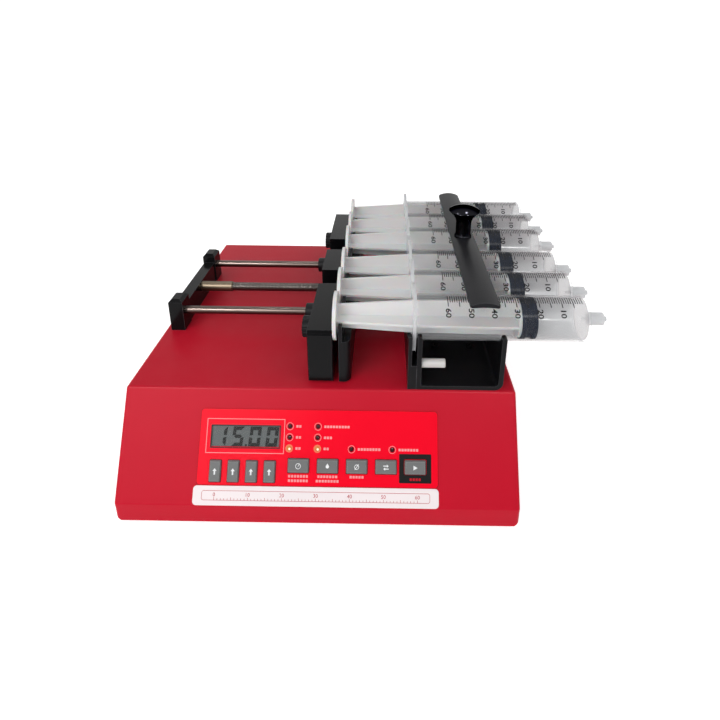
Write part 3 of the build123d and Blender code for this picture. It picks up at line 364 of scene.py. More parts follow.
def slab(outline, place, thickness=PRINT_THICKNESS, lift=PRINT_LIFT):
    """A flat closed slab: a counter-clockwise outline in the plane, put at two heights and walled round.

    place(x, y, z) turns plane coordinates and height into points of the frame."""
    return tube(np.stack([place(outline[:, 0], outline[:, 1], level) for level in (lift, lift + thickness)]))


def band(inner, outer, place):
    """A flat closed frame of print between two outlines of as many points: four rims joined round."""
    low, high = PRINT_LIFT, PRINT_LIFT + PRINT_THICKNESS
    rims = [place(rim[:, 0], rim[:, 1], level) for rim, level in
            ((outer, low), (outer, high), (inner, high), (inner, low))]
    return np.stack(rims, axis=1).reshape(-1, 3), [face[::-1] for face in ring_faces(len(inner), 4)]


def circle(x, y, radius, sides=32):
    """Points of a circle: centre plus radius times cosine and sine, counter-clockwise."""
    turn = np.linspace(0, 2 * math.pi, sides, endpoint=False)
    return np.stack([x + radius * np.cos(turn), y + radius * np.sin(turn)], axis=-1)


def rectangle(left, bottom, right, top):
    """Four corners, counter-clockwise."""
    return np.array([(left, bottom), (right, bottom), (right, top), (left, top)])


def rounded(left, bottom, right, top, radius, sides=6):
    """A rectangle with quarter circles at its corners, counter-clockwise."""
    middles = rectangle(left + radius, bottom + radius, right - radius, top - radius)
    quarter = np.linspace(0, math.pi / 2, sides + 1)
    turns = [quarter - math.pi / 2, quarter, quarter + math.pi / 2, quarter + math.pi]
    arcs = [middle + radius * np.stack([np.cos(turn), np.sin(turn)], axis=-1)
            for middle, turn in zip(np.roll(middles, -1, axis=0), turns)]
    return np.concatenate(arcs)


def rotated(outline, turn):
    """An outline turned counter-clockwise about the plane's centre."""
    return outline @ np.array([(math.cos(turn), math.sin(turn)), (-math.sin(turn), math.cos(turn))])


def panel_place(right=0.0, down=0.0, level=0.0):
    """A place function for a plane centred on a point of the panel, x to the right and y up the slope."""
    return lambda x, y, z: panel_points(right + x, down - y, level + z)


def text_part(words, height, place, stretch=1.0, bold=0.0):
    """Plain numerals as a closed flat mesh, centred, with their height along y, and stretched along x."""
    curve = bpy.data.curves.new("numerals", "FONT")
    curve.body = words
    curve.resolution_u = 3
    curve.extrude = 0.5
    curve.offset = bold
    holder = bpy.data.objects.new("numerals", curve)
    bpy.context.scene.collection.objects.link(holder)
    bpy.context.view_layer.update()
    mesh = bpy.data.meshes.new_from_object(holder.evaluated_get(bpy.context.evaluated_depsgraph_get()))
    points = mesh_points(mesh)
    faces = [list(face.vertices) for face in mesh.polygons]
    bpy.data.objects.remove(holder)
    bpy.data.curves.remove(curve)
    bpy.data.meshes.remove(mesh)
    low, high = extent(points)
    flat = (points - (low + high) / 2) * height / (high[1] - low[1])
    return place(flat[:, 0] * stretch, flat[:, 1], PRINT_LIFT + (points[:, 2] > 0) * PRINT_THICKNESS), faces


# ------------------------------ node groups and materials
def feed(tree, socket, value):
    """Links an output to an input, or sets the input to a number, a vector or a colour of three channels."""
    if isinstance(value, bpy.types.NodeSocket):
        tree.links.new(value, socket)
    elif socket.type == "RGBA":
        socket.default_value = (*value[:3], 1.0)
    else:
        socket.default_value = value


def add_node(tree, kind, inputs=None, **settings):
    """A shader node with its settings made and its inputs fed, by name or place; returns its outputs."""
    node = tree.nodes.new(f"ShaderNode{kind}")
    for label, value in settings.items():
        setattr(node, label, value)
    for label, value in (inputs or {}).items():
        feed(tree, node.inputs[label], value)
    return node.outputs


def maths(tree, operation, *values):
    """A math node fed with outputs or numbers; returns its output."""
    return add_node(tree, "Math", dict(enumerate(values)), operation=operation)[0]


def ranged(tree, value, low, high):
    """Turns a value about 0 to 1 into low to high."""
    return maths(tree, "MULTIPLY_ADD", value, high - low, low)


def noise(tree, place, scale, detail=3.0, rough=0.55):
    """The value of a noise texture."""
    inputs = {"Vector": place, "Scale": scale, "Detail": detail, "Roughness": rough}
    return add_node(tree, "TexNoise", inputs)["Fac"]


def object_place(tree, **mapping):
    """Object coordinates, moved or stretched."""
    place = add_node(tree, "TexCoord")["Object"]
    return add_node(tree, "Mapping", {"Vector": place, **mapping})["Vector"]


def blend_colour(tree, factor, first, second):
    """Mixes two colours by a factor."""
    return add_node(tree, "Mix", {0: factor, 6: first, 7: second}, data_type="RGBA")[2]


def shaded(value, factor):
    """A colour scaled by a factor, kept below one."""
    return tuple(min(channel * factor, 1.0) for channel in value)


def toned(tree, tone, base, share):
    """A colour that a broad tone makes darker and lighter by a share."""
    return blend_colour(tree, tone, shaded(base, 1 - share), shaded(base, 1 + share))


def bump(tree, height, distance):
    """A bump node over a height; returns its normal."""
    return add_node(tree, "Bump", {"Height": height, "Distance": distance, "Strength": 1.0})["Normal"]


def any_ray(tree, path, first, *others):
    """One for any of some kinds of ray, and nought for the rest, from a Light Path's outputs."""
    seen = path[f"Is {first} Ray"]
    for kind in others:
        seen = maths(tree, "MAXIMUM", seen, path[f"Is {kind} Ray"])
    return seen


def new_group(name, inputs, outputs):
    """An empty shader node group with float inputs and their values, and float outputs."""
    group = bpy.data.node_groups.new(name, "ShaderNodeTree")
    for label, value in inputs.items():
        group.interface.new_socket(label, in_out="INPUT", socket_type="NodeSocketFloat").default_value = value
    for label in outputs:
        group.interface.new_socket(label, in_out="OUTPUT", socket_type="NodeSocketFloat")
    return group, group.nodes.new("NodeGroupInput").outputs, group.nodes.new("NodeGroupOutput").inputs


def grain_group(name):
    """Fine grain: a tight noise for height and a broad one for tone, both about one half."""
    group, inside, outside = new_group(name, {"Scale": 900.0, "Broad": 14.0}, ["Height", "Tone"])
    place = object_place(group)
    feed(group, outside["Height"], noise(group, place, inside["Scale"], 2.0))
    feed(group, outside["Tone"], noise(group, place, inside["Broad"], 4.0, 0.6))
    return group


def drawn_group(name):
    """Lines along X, as drawing and grinding leave on a rod: noise whose X is stretched far out."""
    group, inside, outside = new_group(name, {"Scale": 900.0}, ["Lines", "Tone"])
    lines_place = object_place(group, Scale=(0.01, 1.0, 1.0))
    tone_place = object_place(group, Scale=(0.4, 1.0, 1.0))
    feed(group, outside["Lines"], noise(group, lines_place, inside["Scale"], 3.0, 0.6))
    feed(group, outside["Tone"], noise(group, tone_place, 60.0))
    return group


def broken_mask(group, amount, mask, scale, detail, rough, contrast, offset):
    """A mask broken up by noise, with its contrast and offset, times an amount."""
    value = noise(group, object_place(group), scale, detail, rough)
    patches = maths(group, "MULTIPLY_ADD", value, contrast, offset)
    return maths(group, "MULTIPLY", maths(group, "MULTIPLY", mask, patches), amount)


def dust_group(name):
    """Dust on faces that look up: the normal's upward part, raised to a power and broken up by noise."""
    group, inside, outside = new_group(name, {"Amount": 0.1, "Scale": 60.0}, ["Mask"])
    normal = add_node(group, "NewGeometry")["Normal"]
    height = add_node(group, "SeparateXYZ", {"Vector": normal})["Z"]
    upward = maths(group, "POWER", maths(group, "MAXIMUM", height, 0.0), 3.0)
    mask = broken_mask(group, inside["Amount"], upward, inside["Scale"], 6.0, 0.7, 1.6, -0.3)
    feed(group, outside["Mask"], maths(group, "MAXIMUM", mask, 0.0))
    return group


def wear_group(name):
    """Bright edges, partly rubbed wear and partly painted highlight: a thin line where the rounded normal
    leaves the true one, broken up by noise.
    """
    group, inside, outside = new_group(name, {"Amount": 0.3, "Radius": 0.0006}, ["Mask"])
    soft = add_node(group, "Bevel", {"Radius": inside["Radius"]}, samples=4)["Normal"]
    true = add_node(group, "NewGeometry")["True Normal"]
    product = add_node(group, "VectorMath", {0: soft, 1: true}, operation="DOT_PRODUCT")["Value"]
    edge = maths(group, "MULTIPLY", maths(group, "SUBTRACT", 1.0, product), 9.0)
    mask = broken_mask(group, inside["Amount"], edge, 260.0, 3.0, 0.55, 1.4, -0.1)
    feed(group, outside["Mask"], add_node(group, "Clamp", {"Value": mask})["Result"])
    return group


GROUP_MAKERS = {
    "fine_grain": grain_group, "drawn_lines": drawn_group, "settled_dust": dust_group, "edge_rub": wear_group,
}
NODE_GROUPS = {}


def effect(tree, name, **values):
    """Places one of the shared node groups in a material, with its own values; returns its outputs."""
    if name not in NODE_GROUPS:
        NODE_GROUPS[name] = GROUP_MAKERS[name](name)
    return add_node(tree, "Group", values, node_tree=NODE_GROUPS[name])


def wire(tree, sockets, **values):
    """Feeds sockets of a shader, whose names have underscores here in place of spaces."""
    for label, value in values.items():
        feed(tree, sockets[label.replace("_", " ")], value)


def new_material(name, **constants):
    """A material whose Principled shader has constants set; returns it, its tree and the shader's inputs."""
    material = bpy.data.materials.new(name)
    material.use_nodes = True
    tree = material.node_tree
    sockets = tree.nodes["Principled BSDF"].inputs
    wire(tree, sockets, **constants)
    return material, tree, sockets


def painted(name, base, grain=900.0, depth=0.00003, rough=(0.42, 0.55), tone=0.10, dust=0.05, rub=None,
            gloss=0.5, **constants):
    """Paint or moulded plastic: fine grain as bump, broad tone, settled dust, and bright edges that are
    partly rubbed wear and partly painted highlight.
    """
    material, tree, sockets = new_material(name, Specular_IOR_Level=gloss, **constants)
    fine = effect(tree, "fine_grain", Scale=grain)
    shade = toned(tree, fine["Tone"], base, tone)
    if dust:
        shade = blend_colour(tree, effect(tree, "settled_dust", Amount=dust)["Mask"], shade, DUST)
    # bright edges: partly rubbed wear, partly painted highlight
    if rub:
        amount, bright = rub
        shade = blend_colour(tree, effect(tree, "edge_rub", Amount=amount)["Mask"], shade, bright)
    wire(tree, sockets, Base_Color=shade, Roughness=ranged(tree, fine["Tone"], *rough),
         Normal=bump(tree, fine["Height"], depth))
    return material


def ink(name, shade):
    """A thin printed ink, nearly matt."""
    return painted(name, shade, grain=2600.0, depth=0.000004, rough=(0.40, 0.48), tone=0.05, dust=0.0,
                   gloss=0.16)


def drawn_metal(name, base, rough=(0.20, 0.32), depth=0.0000015, tone=0.14):
    """Ground metal: lines along X in tone, roughness and bump."""
    material, tree, sockets = new_material(name, Metallic=1.0)
    drawn = effect(tree, "drawn_lines")
    wire(tree, sockets, Base_Color=toned(tree, drawn["Tone"], base, tone),
         Roughness=ranged(tree, drawn["Lines"], *rough), Normal=bump(tree, drawn["Lines"], depth))
    return material


def clear_film(name, base, face, edge):
    """A clear film: little of it shows face on, and more where it is seen edge on."""
    material, tree, sockets = new_material(name, IOR=PLASTIC_IOR, Specular_IOR_Level=0.05)
    fine = effect(tree, "fine_grain", Scale=160.0, Broad=26.0)
    facing = add_node(tree, "LayerWeight", {"Blend": 0.35})["Facing"]
    wire(tree, sockets, Base_Color=toned(tree, fine["Tone"], base, 0.03),
         Alpha=ranged(tree, facing, face, edge), Roughness=ranged(tree, fine["Tone"], 0.05, 0.10))
    return material


def barrel_plastic(name, base, edge_colour):
    """Natural polypropylene of a barrel: clear where the bore is looked into, cloudy on the bore's far wall.

    The distance from the barrel's own axis tells the inner wall from the outer one, and the far wall is seen
    from within the bore. The flange and the tip are cloudy all through. Most of the light that falls on the
    plastic goes on into the bore."""
    low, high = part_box(name)
    points = node_points(name)
    middle = points[points[:, 0] > high[0] - 0.1 * MM].mean(axis=0)
    material, tree, sockets = new_material(f"{name}_plastic", IOR=PLASTIC_IOR, Specular_IOR_Level=0.2)
    centred = object_place(tree, Location=(-low[0], -middle[1], -middle[2]))
    along, across, up = add_node(tree, "SeparateXYZ", {"Vector": centred})
    squares = maths(tree, "ADD", maths(tree, "POWER", across, 2.0), maths(tree, "POWER", up, 2.0))
    inner = maths(tree, "LESS_THAN", maths(tree, "SQRT", squares), WALL_MIDDLE)
    front = maths(tree, "SUBTRACT", 1.0, add_node(tree, "NewGeometry")["Backfacing"])
    far = maths(tree, "SUBTRACT", 1.0, maths(tree, "ABSOLUTE", maths(tree, "SUBTRACT", inner, front)))
    facing = add_node(tree, "LayerWeight", {"Blend": 0.5})["Facing"]
    steep = maths(tree, "POWER", facing, 8.0)
    near_alpha = maths(tree, "MULTIPLY_ADD", steep, STEEP_WALL, NEAR_WALL)
    in_bore = maths(tree, "LESS_THAN", along, BORE_END)
    sideways = maths(tree, "MULTIPLY", maths(tree, "POWER", facing, 2.0), in_bore)
    far_alpha = maths(tree, "ADD", maths(tree, "MULTIPLY_ADD", sideways, -SIDE_LOSS, FAR_END),
                      maths(tree, "MULTIPLY", in_bore, FAR_WALL - FAR_END))
    wall = maths(tree, "ADD", maths(tree, "MULTIPLY", far, far_alpha), near_alpha)
    flange = maths(tree, "MULTIPLY", maths(tree, "LESS_THAN", along, FLANGE_END), FLANGE_CLOUD)
    cone = maths(tree, "MULTIPLY", maths(tree, "GREATER_THAN", along, CONE_START), CONE_CLOUD)
    end = maths(tree, "MULTIPLY_ADD", maths(tree, "GREATER_THAN", along, TIP_START), TIP_CLOUD, cone)
    cloud = maths(tree, "ADD", wall, maths(tree, "ADD", flange, end))
    passing = any_ray(tree, add_node(tree, "LightPath"), "Shadow", "Diffuse")
    solid = maths(tree, "MULTIPLY_ADD", passing, -LIGHT_PASSED, 1.0)
    fine = effect(tree, "fine_grain", Scale=160.0, Broad=26.0)
    cloudy = toned(tree, fine["Tone"], base, 0.04)
    alpha = add_node(tree, "Clamp", {"Value": maths(tree, "MULTIPLY", cloud, solid)})["Result"]
    wire(tree, sockets, Alpha=alpha, Base_Color=blend_colour(tree, steep, cloudy, edge_colour),
         Roughness=ranged(tree, fine["Tone"], 0.14, 0.26), Normal=bump(tree, fine["Height"], 0.00001))
    return material


def lamp_lens(name, base, glow, strength):
    """A lamp's moulded lens, lit or not: a slightly uneven tint, with an even glow."""
    material, tree, sockets = new_material(name, Roughness=0.22, Specular_IOR_Level=0.2, Emission_Color=glow,
                                           Emission_Strength=strength)
    fine = effect(tree, "fine_grain", Scale=500.0)
    wire(tree, sockets, Base_Color=toned(tree, fine["Tone"], base, 0.2))
    return material


# ------------------------------ operators
class PUMP_OT_finishes(bpy.types.Operator):
    """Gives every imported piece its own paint, metal, rubber or plastic"""
    bl_idname = "pump.finishes"
    bl_label = "Finish the packed pieces"

    def execute(self, context):
        tint = context.scene.pump_colours
        for names, maker, name, base, values in finishes(tint):
            material = maker(name, base, **values)
            for node in names:
                finish_node(node, material)
        for name in BARRELS:
            finish_node(name, barrel_plastic(name, tint.barrel, tint.barrel_edge))
        return {"FINISHED"}


def finish_node(name, material):
    """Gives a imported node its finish."""
    materials = frame["nodes"][name].data.materials
    materials.clear()
    materials.append(material)


def finishes(tint):
    """Each finish: the nodes that get it, its maker, its name, its colour and its other values."""
    def black(factor):
        return shaded(tint.black, factor)
    return [
        (["cover", "base_tray"], painted, "case_paint", tint.case,
         dict(grain=1500.0, depth=0.00007, rough=(0.32, 0.42), tone=0.06, dust=0.02, gloss=0.11,
              rub=(0.30, (0.66, 0.06, 0.09)))),
        (["control_overlay"], painted, "overlay_film", tint.overlay,
         dict(grain=2600.0, depth=0.00001, rough=(0.20, 0.26), tone=0.03, dust=0.0, gloss=0.08)),
        (["end_plate", "pusher_bar"], painted, "black_anodised", black(1.0),
         dict(grain=2200.0, depth=0.000008, rough=(0.12, 0.20), tone=0.2, dust=0.012, gloss=0.11,
              rub=(0.35, (0.12, 0.12, 0.13)))),
        (["clamp_bar"], painted, "black_clamp_bar", black(3.6),
         dict(grain=1600.0, depth=0.00002, rough=(0.30, 0.42), tone=0.12, dust=0.015, rub=(0.3, RUBBED_AND_HIGHLIT_BLACK),
              gloss=0.1)),
        (["cradle", "flange_stop_plate", "plunger_retainer"], painted, "black_folded_sheet", black(1.8),
         dict(grain=1800.0, depth=0.000015, rough=(0.26, 0.40), tone=0.2, dust=0.006, rub=(0.4, RUBBED_AND_HIGHLIT_BLACK),
              gloss=0.11)),
        (["motor_body"], painted, "motor_enamel", black(3.0), dict(grain=600.0, rough=(0.4, 0.6))),
        (["clamp_knob"], painted, "black_gloss_knob", black(5.0),
         dict(grain=300.0, depth=0.000003, rough=(0.08, 0.13), tone=0.1, dust=0.0, Metallic=1.0,
              Specular_Tint=(0.2, 0.2, 0.2))),
        (["guide_bushes", "thumb_screw_front", "thumb_screw_rear", "power_inlet", "power_switch_body",
          "power_rocker", "data_ports"], painted, "black_moulding", black(2.2),
         dict(rough=(0.36, 0.50), tone=0.15, dust=0.01, gloss=0.14)),
        (["rubber_feet"], painted, "foot_rubber", black(2.2),
         dict(grain=500.0, depth=0.00008, rough=(0.7, 0.85))),
        (["timing_belt"], painted, "belt_rubber", black(2.0),
         dict(grain=700.0, depth=0.00005, rough=(0.6, 0.8))),
        (["plunger_stoppers"], painted, "stopper_rubber", tint.stopper,
         dict(grain=700.0, depth=0.00001, rough=(0.34, 0.46), tone=0.12, dust=0.0, gloss=0.04)),
        (DIGIT_KEYS + MENU_KEYS, painted, "key_moulding", tint.keys,
         dict(grain=1400.0, tone=0.08, dust=0.02, rub=(0.5, (0.42, 0.44, 0.44)), gloss=0.3)),
        (["display_module"], painted, "display_glass", tint.display,
         dict(grain=200.0, depth=0.000002, rough=(0.2, 0.28), tone=0.05, dust=0.0, gloss=0.08)),
        (["nylon_stud"], painted, "nylon", (0.60, 0.59, 0.57),
         dict(grain=500.0, rough=(0.4, 0.55), tone=0.06, Subsurface_Weight=0.1, Subsurface_Scale=0.002)),
        (["control_board"], painted, "board_mask", (0.02, 0.11, 0.05), dict(grain=300.0, rough=(0.35, 0.45))),
        (["key_switches"], painted, "switch_moulding", (0.03, 0.03, 0.03), dict(grain=800.0)),
        (["machine_screws"], painted, "screw_black_oxide", black(1.2),
         dict(rough=(0.4, 0.55), dust=0.005, gloss=0.1)),
        (["plunger_stems"], painted, "plunger_plastic", tint.stem,
         dict(grain=220.0, depth=0.00002, rough=(0.30, 0.42), tone=0.04, dust=0.0, Subsurface_Weight=0.35,
              Subsurface_Scale=0.004)),
        (["guide_rods"], drawn_metal, "rod_steel", tint.rods,
         dict(rough=(0.27, 0.30), depth=0.00000003, tone=0.05)),
        (["clamp_post", "motor_shaft", "screw_bearing", "clamp_spring", "cover_screws"], drawn_metal,
         "ground_steel", tint.steel, {}),
        (["lead_screw"], drawn_metal, "thread_steel", shaded(tint.steel, 0.13), dict(rough=(0.30, 0.45))),
        (["screw_bush", "drive_nut"], drawn_metal, "bronze", tint.bronze, dict(rough=(0.36, 0.50))),
        (["board_standoffs", "motor_bracket", "bearing_block", "screw_pulley", "motor_pulley",
          "io_connector"], drawn_metal, "turned_aluminium", (0.60, 0.60, 0.61), dict(rough=(0.28, 0.42))),
        (["display_window"], clear_film, "window_film", (0.45, 0.48, 0.47), dict(face=0.015, edge=0.20)),
        (["indicator_lamps"], lamp_lens, "lamp_dark", (0.045, 0.004, 0.006),
         dict(glow=(0.0, 0.0, 0.0), strength=0.0)),
    ]


class PUMP_OT_panel_print(bpy.types.Operator):
    """Prints the display's frame, the lamps' rings, the marks and the start key's field, and paints shadow
    lines along the overlay's edge, in the window and round the keys
    """
    bl_idname = "pump.panel_print"
    bl_label = "Panel print"

    def execute(self, context):
        size = context.scene.pump_print
        tint = context.scene.pump_colours
        sheet = panel_place()
        edges = (size.frame_left, -size.frame_bottom, size.frame_right, -size.frame_top)
        parts = [band(rectangle(*grown(edges, -size.frame_line)), rectangle(*edges), sheet)]
        for (right, down), count in zip(lamp_places(), LAMP_MARKS):
            inner, outer = (circle(right, -down, radius) for radius in (size.ring_inner, size.ring_outer))
            parts.append(band(inner, outer, sheet))
            parts += blocks(right + size.mark_reach, -down, count, size, sheet)
        for name, rows in KEY_MARKS.items():
            for row, count in enumerate(rows):
                parts += centred_blocks(name, size.mark_below + row * size.mark_row, count, size, sheet)
        add_print("panel_print", parts, ink("panel_ink_pale", tint.print_pale))
        start_field(size, tint, sheet)
        edge_lines(size, tint, sheet)
        return {"FINISHED"}


def add_print(name, parts, material):
    """Adds a piece of print that stays on the case."""
    return add_piece(name, "frame", parts, material)


def grown(box, left, bottom=None, right=None, top=None):
    """A box whose sides move out by one length, or by a length each."""
    moves = [left if move is None else move for move in (left, bottom, right, top)]
    return tuple(np.array(box) + np.array(moves) * (-1, -1, 1, 1))


def face_box(low, high):
    """The box (left, bottom, right, top) in the plane of a panel box's corners."""
    return low[0], -high[1], high[0], -low[1]


def blocks(left, middle, count, size, place):
    """A generic mark: equal blocks in a row, from its left end, centred on a height."""
    half = size.mark_height / 2
    return [slab(rectangle(start, middle - half, start + size.mark_width, middle + half), place)
            for start in left + np.arange(count) * size.mark_pitch]


def centred_blocks(key, below, count, size, place):
    """A generic mark centred under a key, at a depth below the key's lower edge."""
    low, high = panel_box(key)
    left = (low[0] + high[0] - (count - 1) * size.mark_pitch - size.mark_width) / 2
    return blocks(left, -high[1] - below, count, size, place)


def start_field(size, tint, sheet):
    """The black field around the start key, and the red mark under the key."""
    edges = face_box(*panel_box("key_start"))
    inner = rounded(*grown(edges, -FIELD_TUCK), FIELD_INNER_CORNER)
    outer = rounded(*grown(edges, size.stop_margin, size.stop_below), FIELD_CORNER)
    add_print("start_field", [band(inner, outer, sheet)], ink("panel_ink_black", tint.black))
    raised = panel_place(level=PRINT_THICKNESS)
    mark = centred_blocks("key_start", size.stop_below / 2, FIELD_MARK, size, raised)
    add_print("stop_mark", mark, ink("panel_ink_red", shaded(tint.overlay, 0.55)))


def edge_lines(size, tint, sheet):
    """Painted shadow: dark lines along the overlay's edge, inside the window (wider at its top and left) and
    round the keys (wider at their bottom and left); and the window's red rim.
    """
    low, high = panel_box("control_overlay")
    edges = (0.0, -high[1], high[0], 0.0)
    # painted shadow along the overlay's edge
    rim = band(rounded(*grown(edges, -size.rim_line), size.rim_corner),
               rounded(*grown(edges, -RIM_INSET), size.rim_corner), sheet)
    add_print("overlay_rim_shadow", [rim], ink("panel_painted_rim_shadow", tint.print_dark))
    low, high = panel_box("display_window")
    edges = face_box(low, high)
    opening = grown(edges, -size.window_left, 0.0, 0.0, -size.window_top)
    outer = grown(edges, 0.0, HAIR, HAIR, 0.0)
    film = band(rounded(*opening, WINDOW_CORNER), rounded(*outer, WINDOW_CORNER), panel_place(level=high[2]))
    add_print("window_rim", [film], ink("panel_ink_film", tint.overlay))
    # painted shadow inside the window: full width at its top and left, half width at its bottom and right
    line = size.surround
    shade = band(rounded(*grown(opening, -line, -line / 2, -line / 2, -line), WINDOW_CORNER - 0.1 * MM),
                 rounded(*opening, WINDOW_CORNER), panel_place(level=high[2] + PRINT_THICKNESS))
    add_print("display_window_shadow", [shade], ink("panel_painted_window_shadow", (0.030, 0.022, 0.024)))
    # painted shadow in the gap round each key, wider at its bottom and left
    gap_shadows = []
    above = panel_place(level=2 * PRINT_THICKNESS)
    for name in DIGIT_KEYS + MENU_KEYS:
        cap = panel_coordinates(node_points(name))
        edges = face_box(*extent(cap[cap[:, 2] > CAP_LEVEL]))
        outer = grown(edges, *(size.key_gap * share for share in GAP_SHADOW_SHARES))
        gap_shadows.append(band(rounded(*edges, KEY_CORNER), rounded(*outer, GAP_CORNER), above))
    add_print("key_gap_shadows", gap_shadows, ink("panel_painted_gap_shadow", shaded(tint.print_dark, 0.7)))


def split_where(points, axis, gap):
    """Orders points along an axis and parts them wherever the next one is further off than the gap."""
    ordered = points[np.argsort(points[:, axis])]
    return np.split(ordered, np.flatnonzero(np.diff(ordered[:, axis]) > gap) + 1)


def lamp_places():
    """Right and down coordinates of the lamps' middles, column by column and from the top of each."""
    local = panel_coordinates(node_points("indicator_lamps"))[:, :2]
    return [tuple(sum(extent(lamp)) / 2)
            for column in split_where(local, 0, 4 * MM) for lamp in split_where(column, 1, 2 * MM)]


class PUMP_OT_key_signs(bpy.types.Operator):
    """Prints the signs on the keys: arrows, dial, drop, diameter, directions and start"""
    bl_idname = "pump.key_signs"
    bl_label = "Key signs"

    def execute(self, context):
        half = context.scene.pump_print.icon_height / 2
        pale = ink("key_ink", context.scene.pump_colours.key_ink)
        for name in DIGIT_KEYS + MENU_KEYS:
            low, high = panel_box(name)
            place = panel_place((low[0] + high[0]) / 2, (low[1] + high[1]) / 2, high[2])
            add_piece(f"{name}_sign", name, key_sign(name, half, place), pale)
        return {"FINISHED"}


def arrow(half, width, head, place, turn=0.0, above=0.0):
    """An arrow: a shaft and a head of seven corners, turned about its middle and raised."""
    neck = half - head
    outline = np.array([(-width, -half), (width, -half), (width, neck), (head * 0.8, neck), (0.0, half),
                        (-head * 0.8, neck), (-width, neck)])
    return slab(rotated(outline, turn) + (0.0, above), place)


def key_sign(name, half, place):
    """The generic sign for a key, as closed flat parts, in a field twice a half height tall."""
    if name in DIGIT_KEYS:
        return [arrow(1.1 * half, 0.28 * half, 0.95 * half, place)]
    if name == "key_rate":
        hand = np.array([(-0.12, -0.1), (0.12, -0.1), (0.45, 0.65), (0.3, 0.72)]) * half
        return [band(circle(0, 0, 0.8 * half), circle(0, 0, half), place), slab(hand, place)]
    if name == "key_volume":
        turn = np.linspace(-0.25 * math.pi, 1.25 * math.pi, 25)
        bowl = 0.62 * np.stack([np.cos(turn), np.sin(turn)], axis=-1)
        return [slab(-half * np.concatenate([bowl, [(0.0, -1.1)]]), place)]
    if name == "key_diameter":
        bar = rotated(rectangle(-1.15 * half, -0.11 * half, 1.15 * half, 0.11 * half), math.radians(55))
        return [band(circle(0, 0, 0.66 * half), circle(0, 0, 0.86 * half), place),
                slab(bar, place, lift=2 * PRINT_LIFT)]
    if name == "key_direction":
        return [arrow(half, 0.16 * half, 0.7 * half, place, -side * math.pi / 2, side * 0.5 * half)
                for side in (1, -1)]
    return [slab(np.array([(-0.7, -0.8), (0.85, 0.0), (-0.7, 0.8)]) * half, place)]


class PUMP_OT_display_digits(bpy.types.Operator):
    """Sets a plain reading in slanted seven-bar digits on the display"""
    bl_idname = "pump.display_digits"
    bl_label = "Display digits"
    reading: StringProperty(name="Reading", description="Digits that the display shows", default="15.00")
    tall: number("Height", "Height of a digit as a share of the window", 0.80)
    pitch: number("Pitch", "From one digit to the next, in digit heights", 0.93)
    end: length("End", "From the last digit's place to the window's right side", 1.2)
    drop: length("Drop", "How far the digits stand below the window's middle", 0.4)
    trim: number("Trim", "How much of the last place is left out, in places", 0.22)
    digit_middle: number("Digit middle", "From a place's start to its digit's middle, in places", 0.38)
    point_back: number("Point back", "From a place's start back to the point before it, in places", 0.13)
    point: number("Point", "Radius of the point, in digit heights", 0.06)

    def execute(self, context):
        low, high = panel_box("display_window")
        level = panel_box("display_module")[1][2]
        middle = (low[1] + high[1]) / 2 + self.drop
        tall = (high[1] - low[1]) * self.tall
        pitch = tall * self.pitch
        count = sum(sign.isdigit() for sign in self.reading)
        start = high[0] - self.end - pitch * (count - self.trim)
        dot = self.point * tall
        parts = []
        index = 0
        for sign in self.reading:
            if sign == ".":
                place = panel_place(start + pitch * (index - self.point_back), middle + tall / 2, level)
                parts.append(slab(circle(0, dot, dot, 12), place))
                continue
            place = panel_place(start + pitch * (index + self.digit_middle), middle, level)
            parts += seven_bars(sign, tall, place)
            index += 1
        bars = ink("display_bars", context.scene.pump_colours.black)
        add_print("display_digits", parts, bars)
        return {"FINISHED"}


LIT_BARS = {
    "0": "abcdef", "1": "bc", "2": "abged", "3": "abgcd", "4": "fgbc",
    "5": "afgcd", "6": "afgedc", "7": "abc", "8": "abcdefg", "9": "abcdfg",
}
BAR_ENDS = {
    "a": ((0, 1), (1, 1)), "b": ((1, 1), (1, 0.5)), "c": ((1, 0.5), (1, 0)), "d": ((1, 0), (0, 0)),
    "e": ((0, 0), (0, 0.5)), "f": ((0, 0.5), (0, 1)), "g": ((0, 0.5), (1, 0.5)),
}


def seven_bars(sign, tall, place, wide=0.62, thick=0.18, gap=0.004, lean=0.10, short=(0.035, 0.07)):
    """The bars of a slanted digit: strips along the sides of a box, mitred at the corners, pointed across the
    middle, and sheared sideways. Width, thickness and gap are shares of the height, and so is how much short
    of the middle a side bar stops, on its outer and its inner edge."""
    room = np.array([wide - thick, 1 - thick])
    parts = []
    for bar in LIT_BARS[sign]:
        first, second = (np.array(BAR_ENDS[bar]) - 0.5) * room
        along = (second - first) / np.linalg.norm(second - first)
        out = np.array([-along[1], along[0]]) * thick / 2
        if bar == "g":
            near, far = first + along * (thick / 2 + gap), second - along * (thick / 2 + gap)
            tips = [first + along * gap, near + out, far + out, second - along * gap, far - out, near - out]
        else:
            outer = [gap + (-thick / 2 if y in (0, 1) else short[0]) for _, y in BAR_ENDS[bar]]
            inner = [gap + (thick / 2 if y in (0, 1) else short[1]) for _, y in BAR_ENDS[bar]]
            tips = [first + along * outer[0] + out, second - along * outer[1] + out,
                    second - along * inner[1] - out, first + along * inner[0] - out]
        outline = np.array(tips[::-1]) * tall
        outline[:, 0] += outline[:, 1] * lean
        parts.append(slab(outline, place))
    return parts


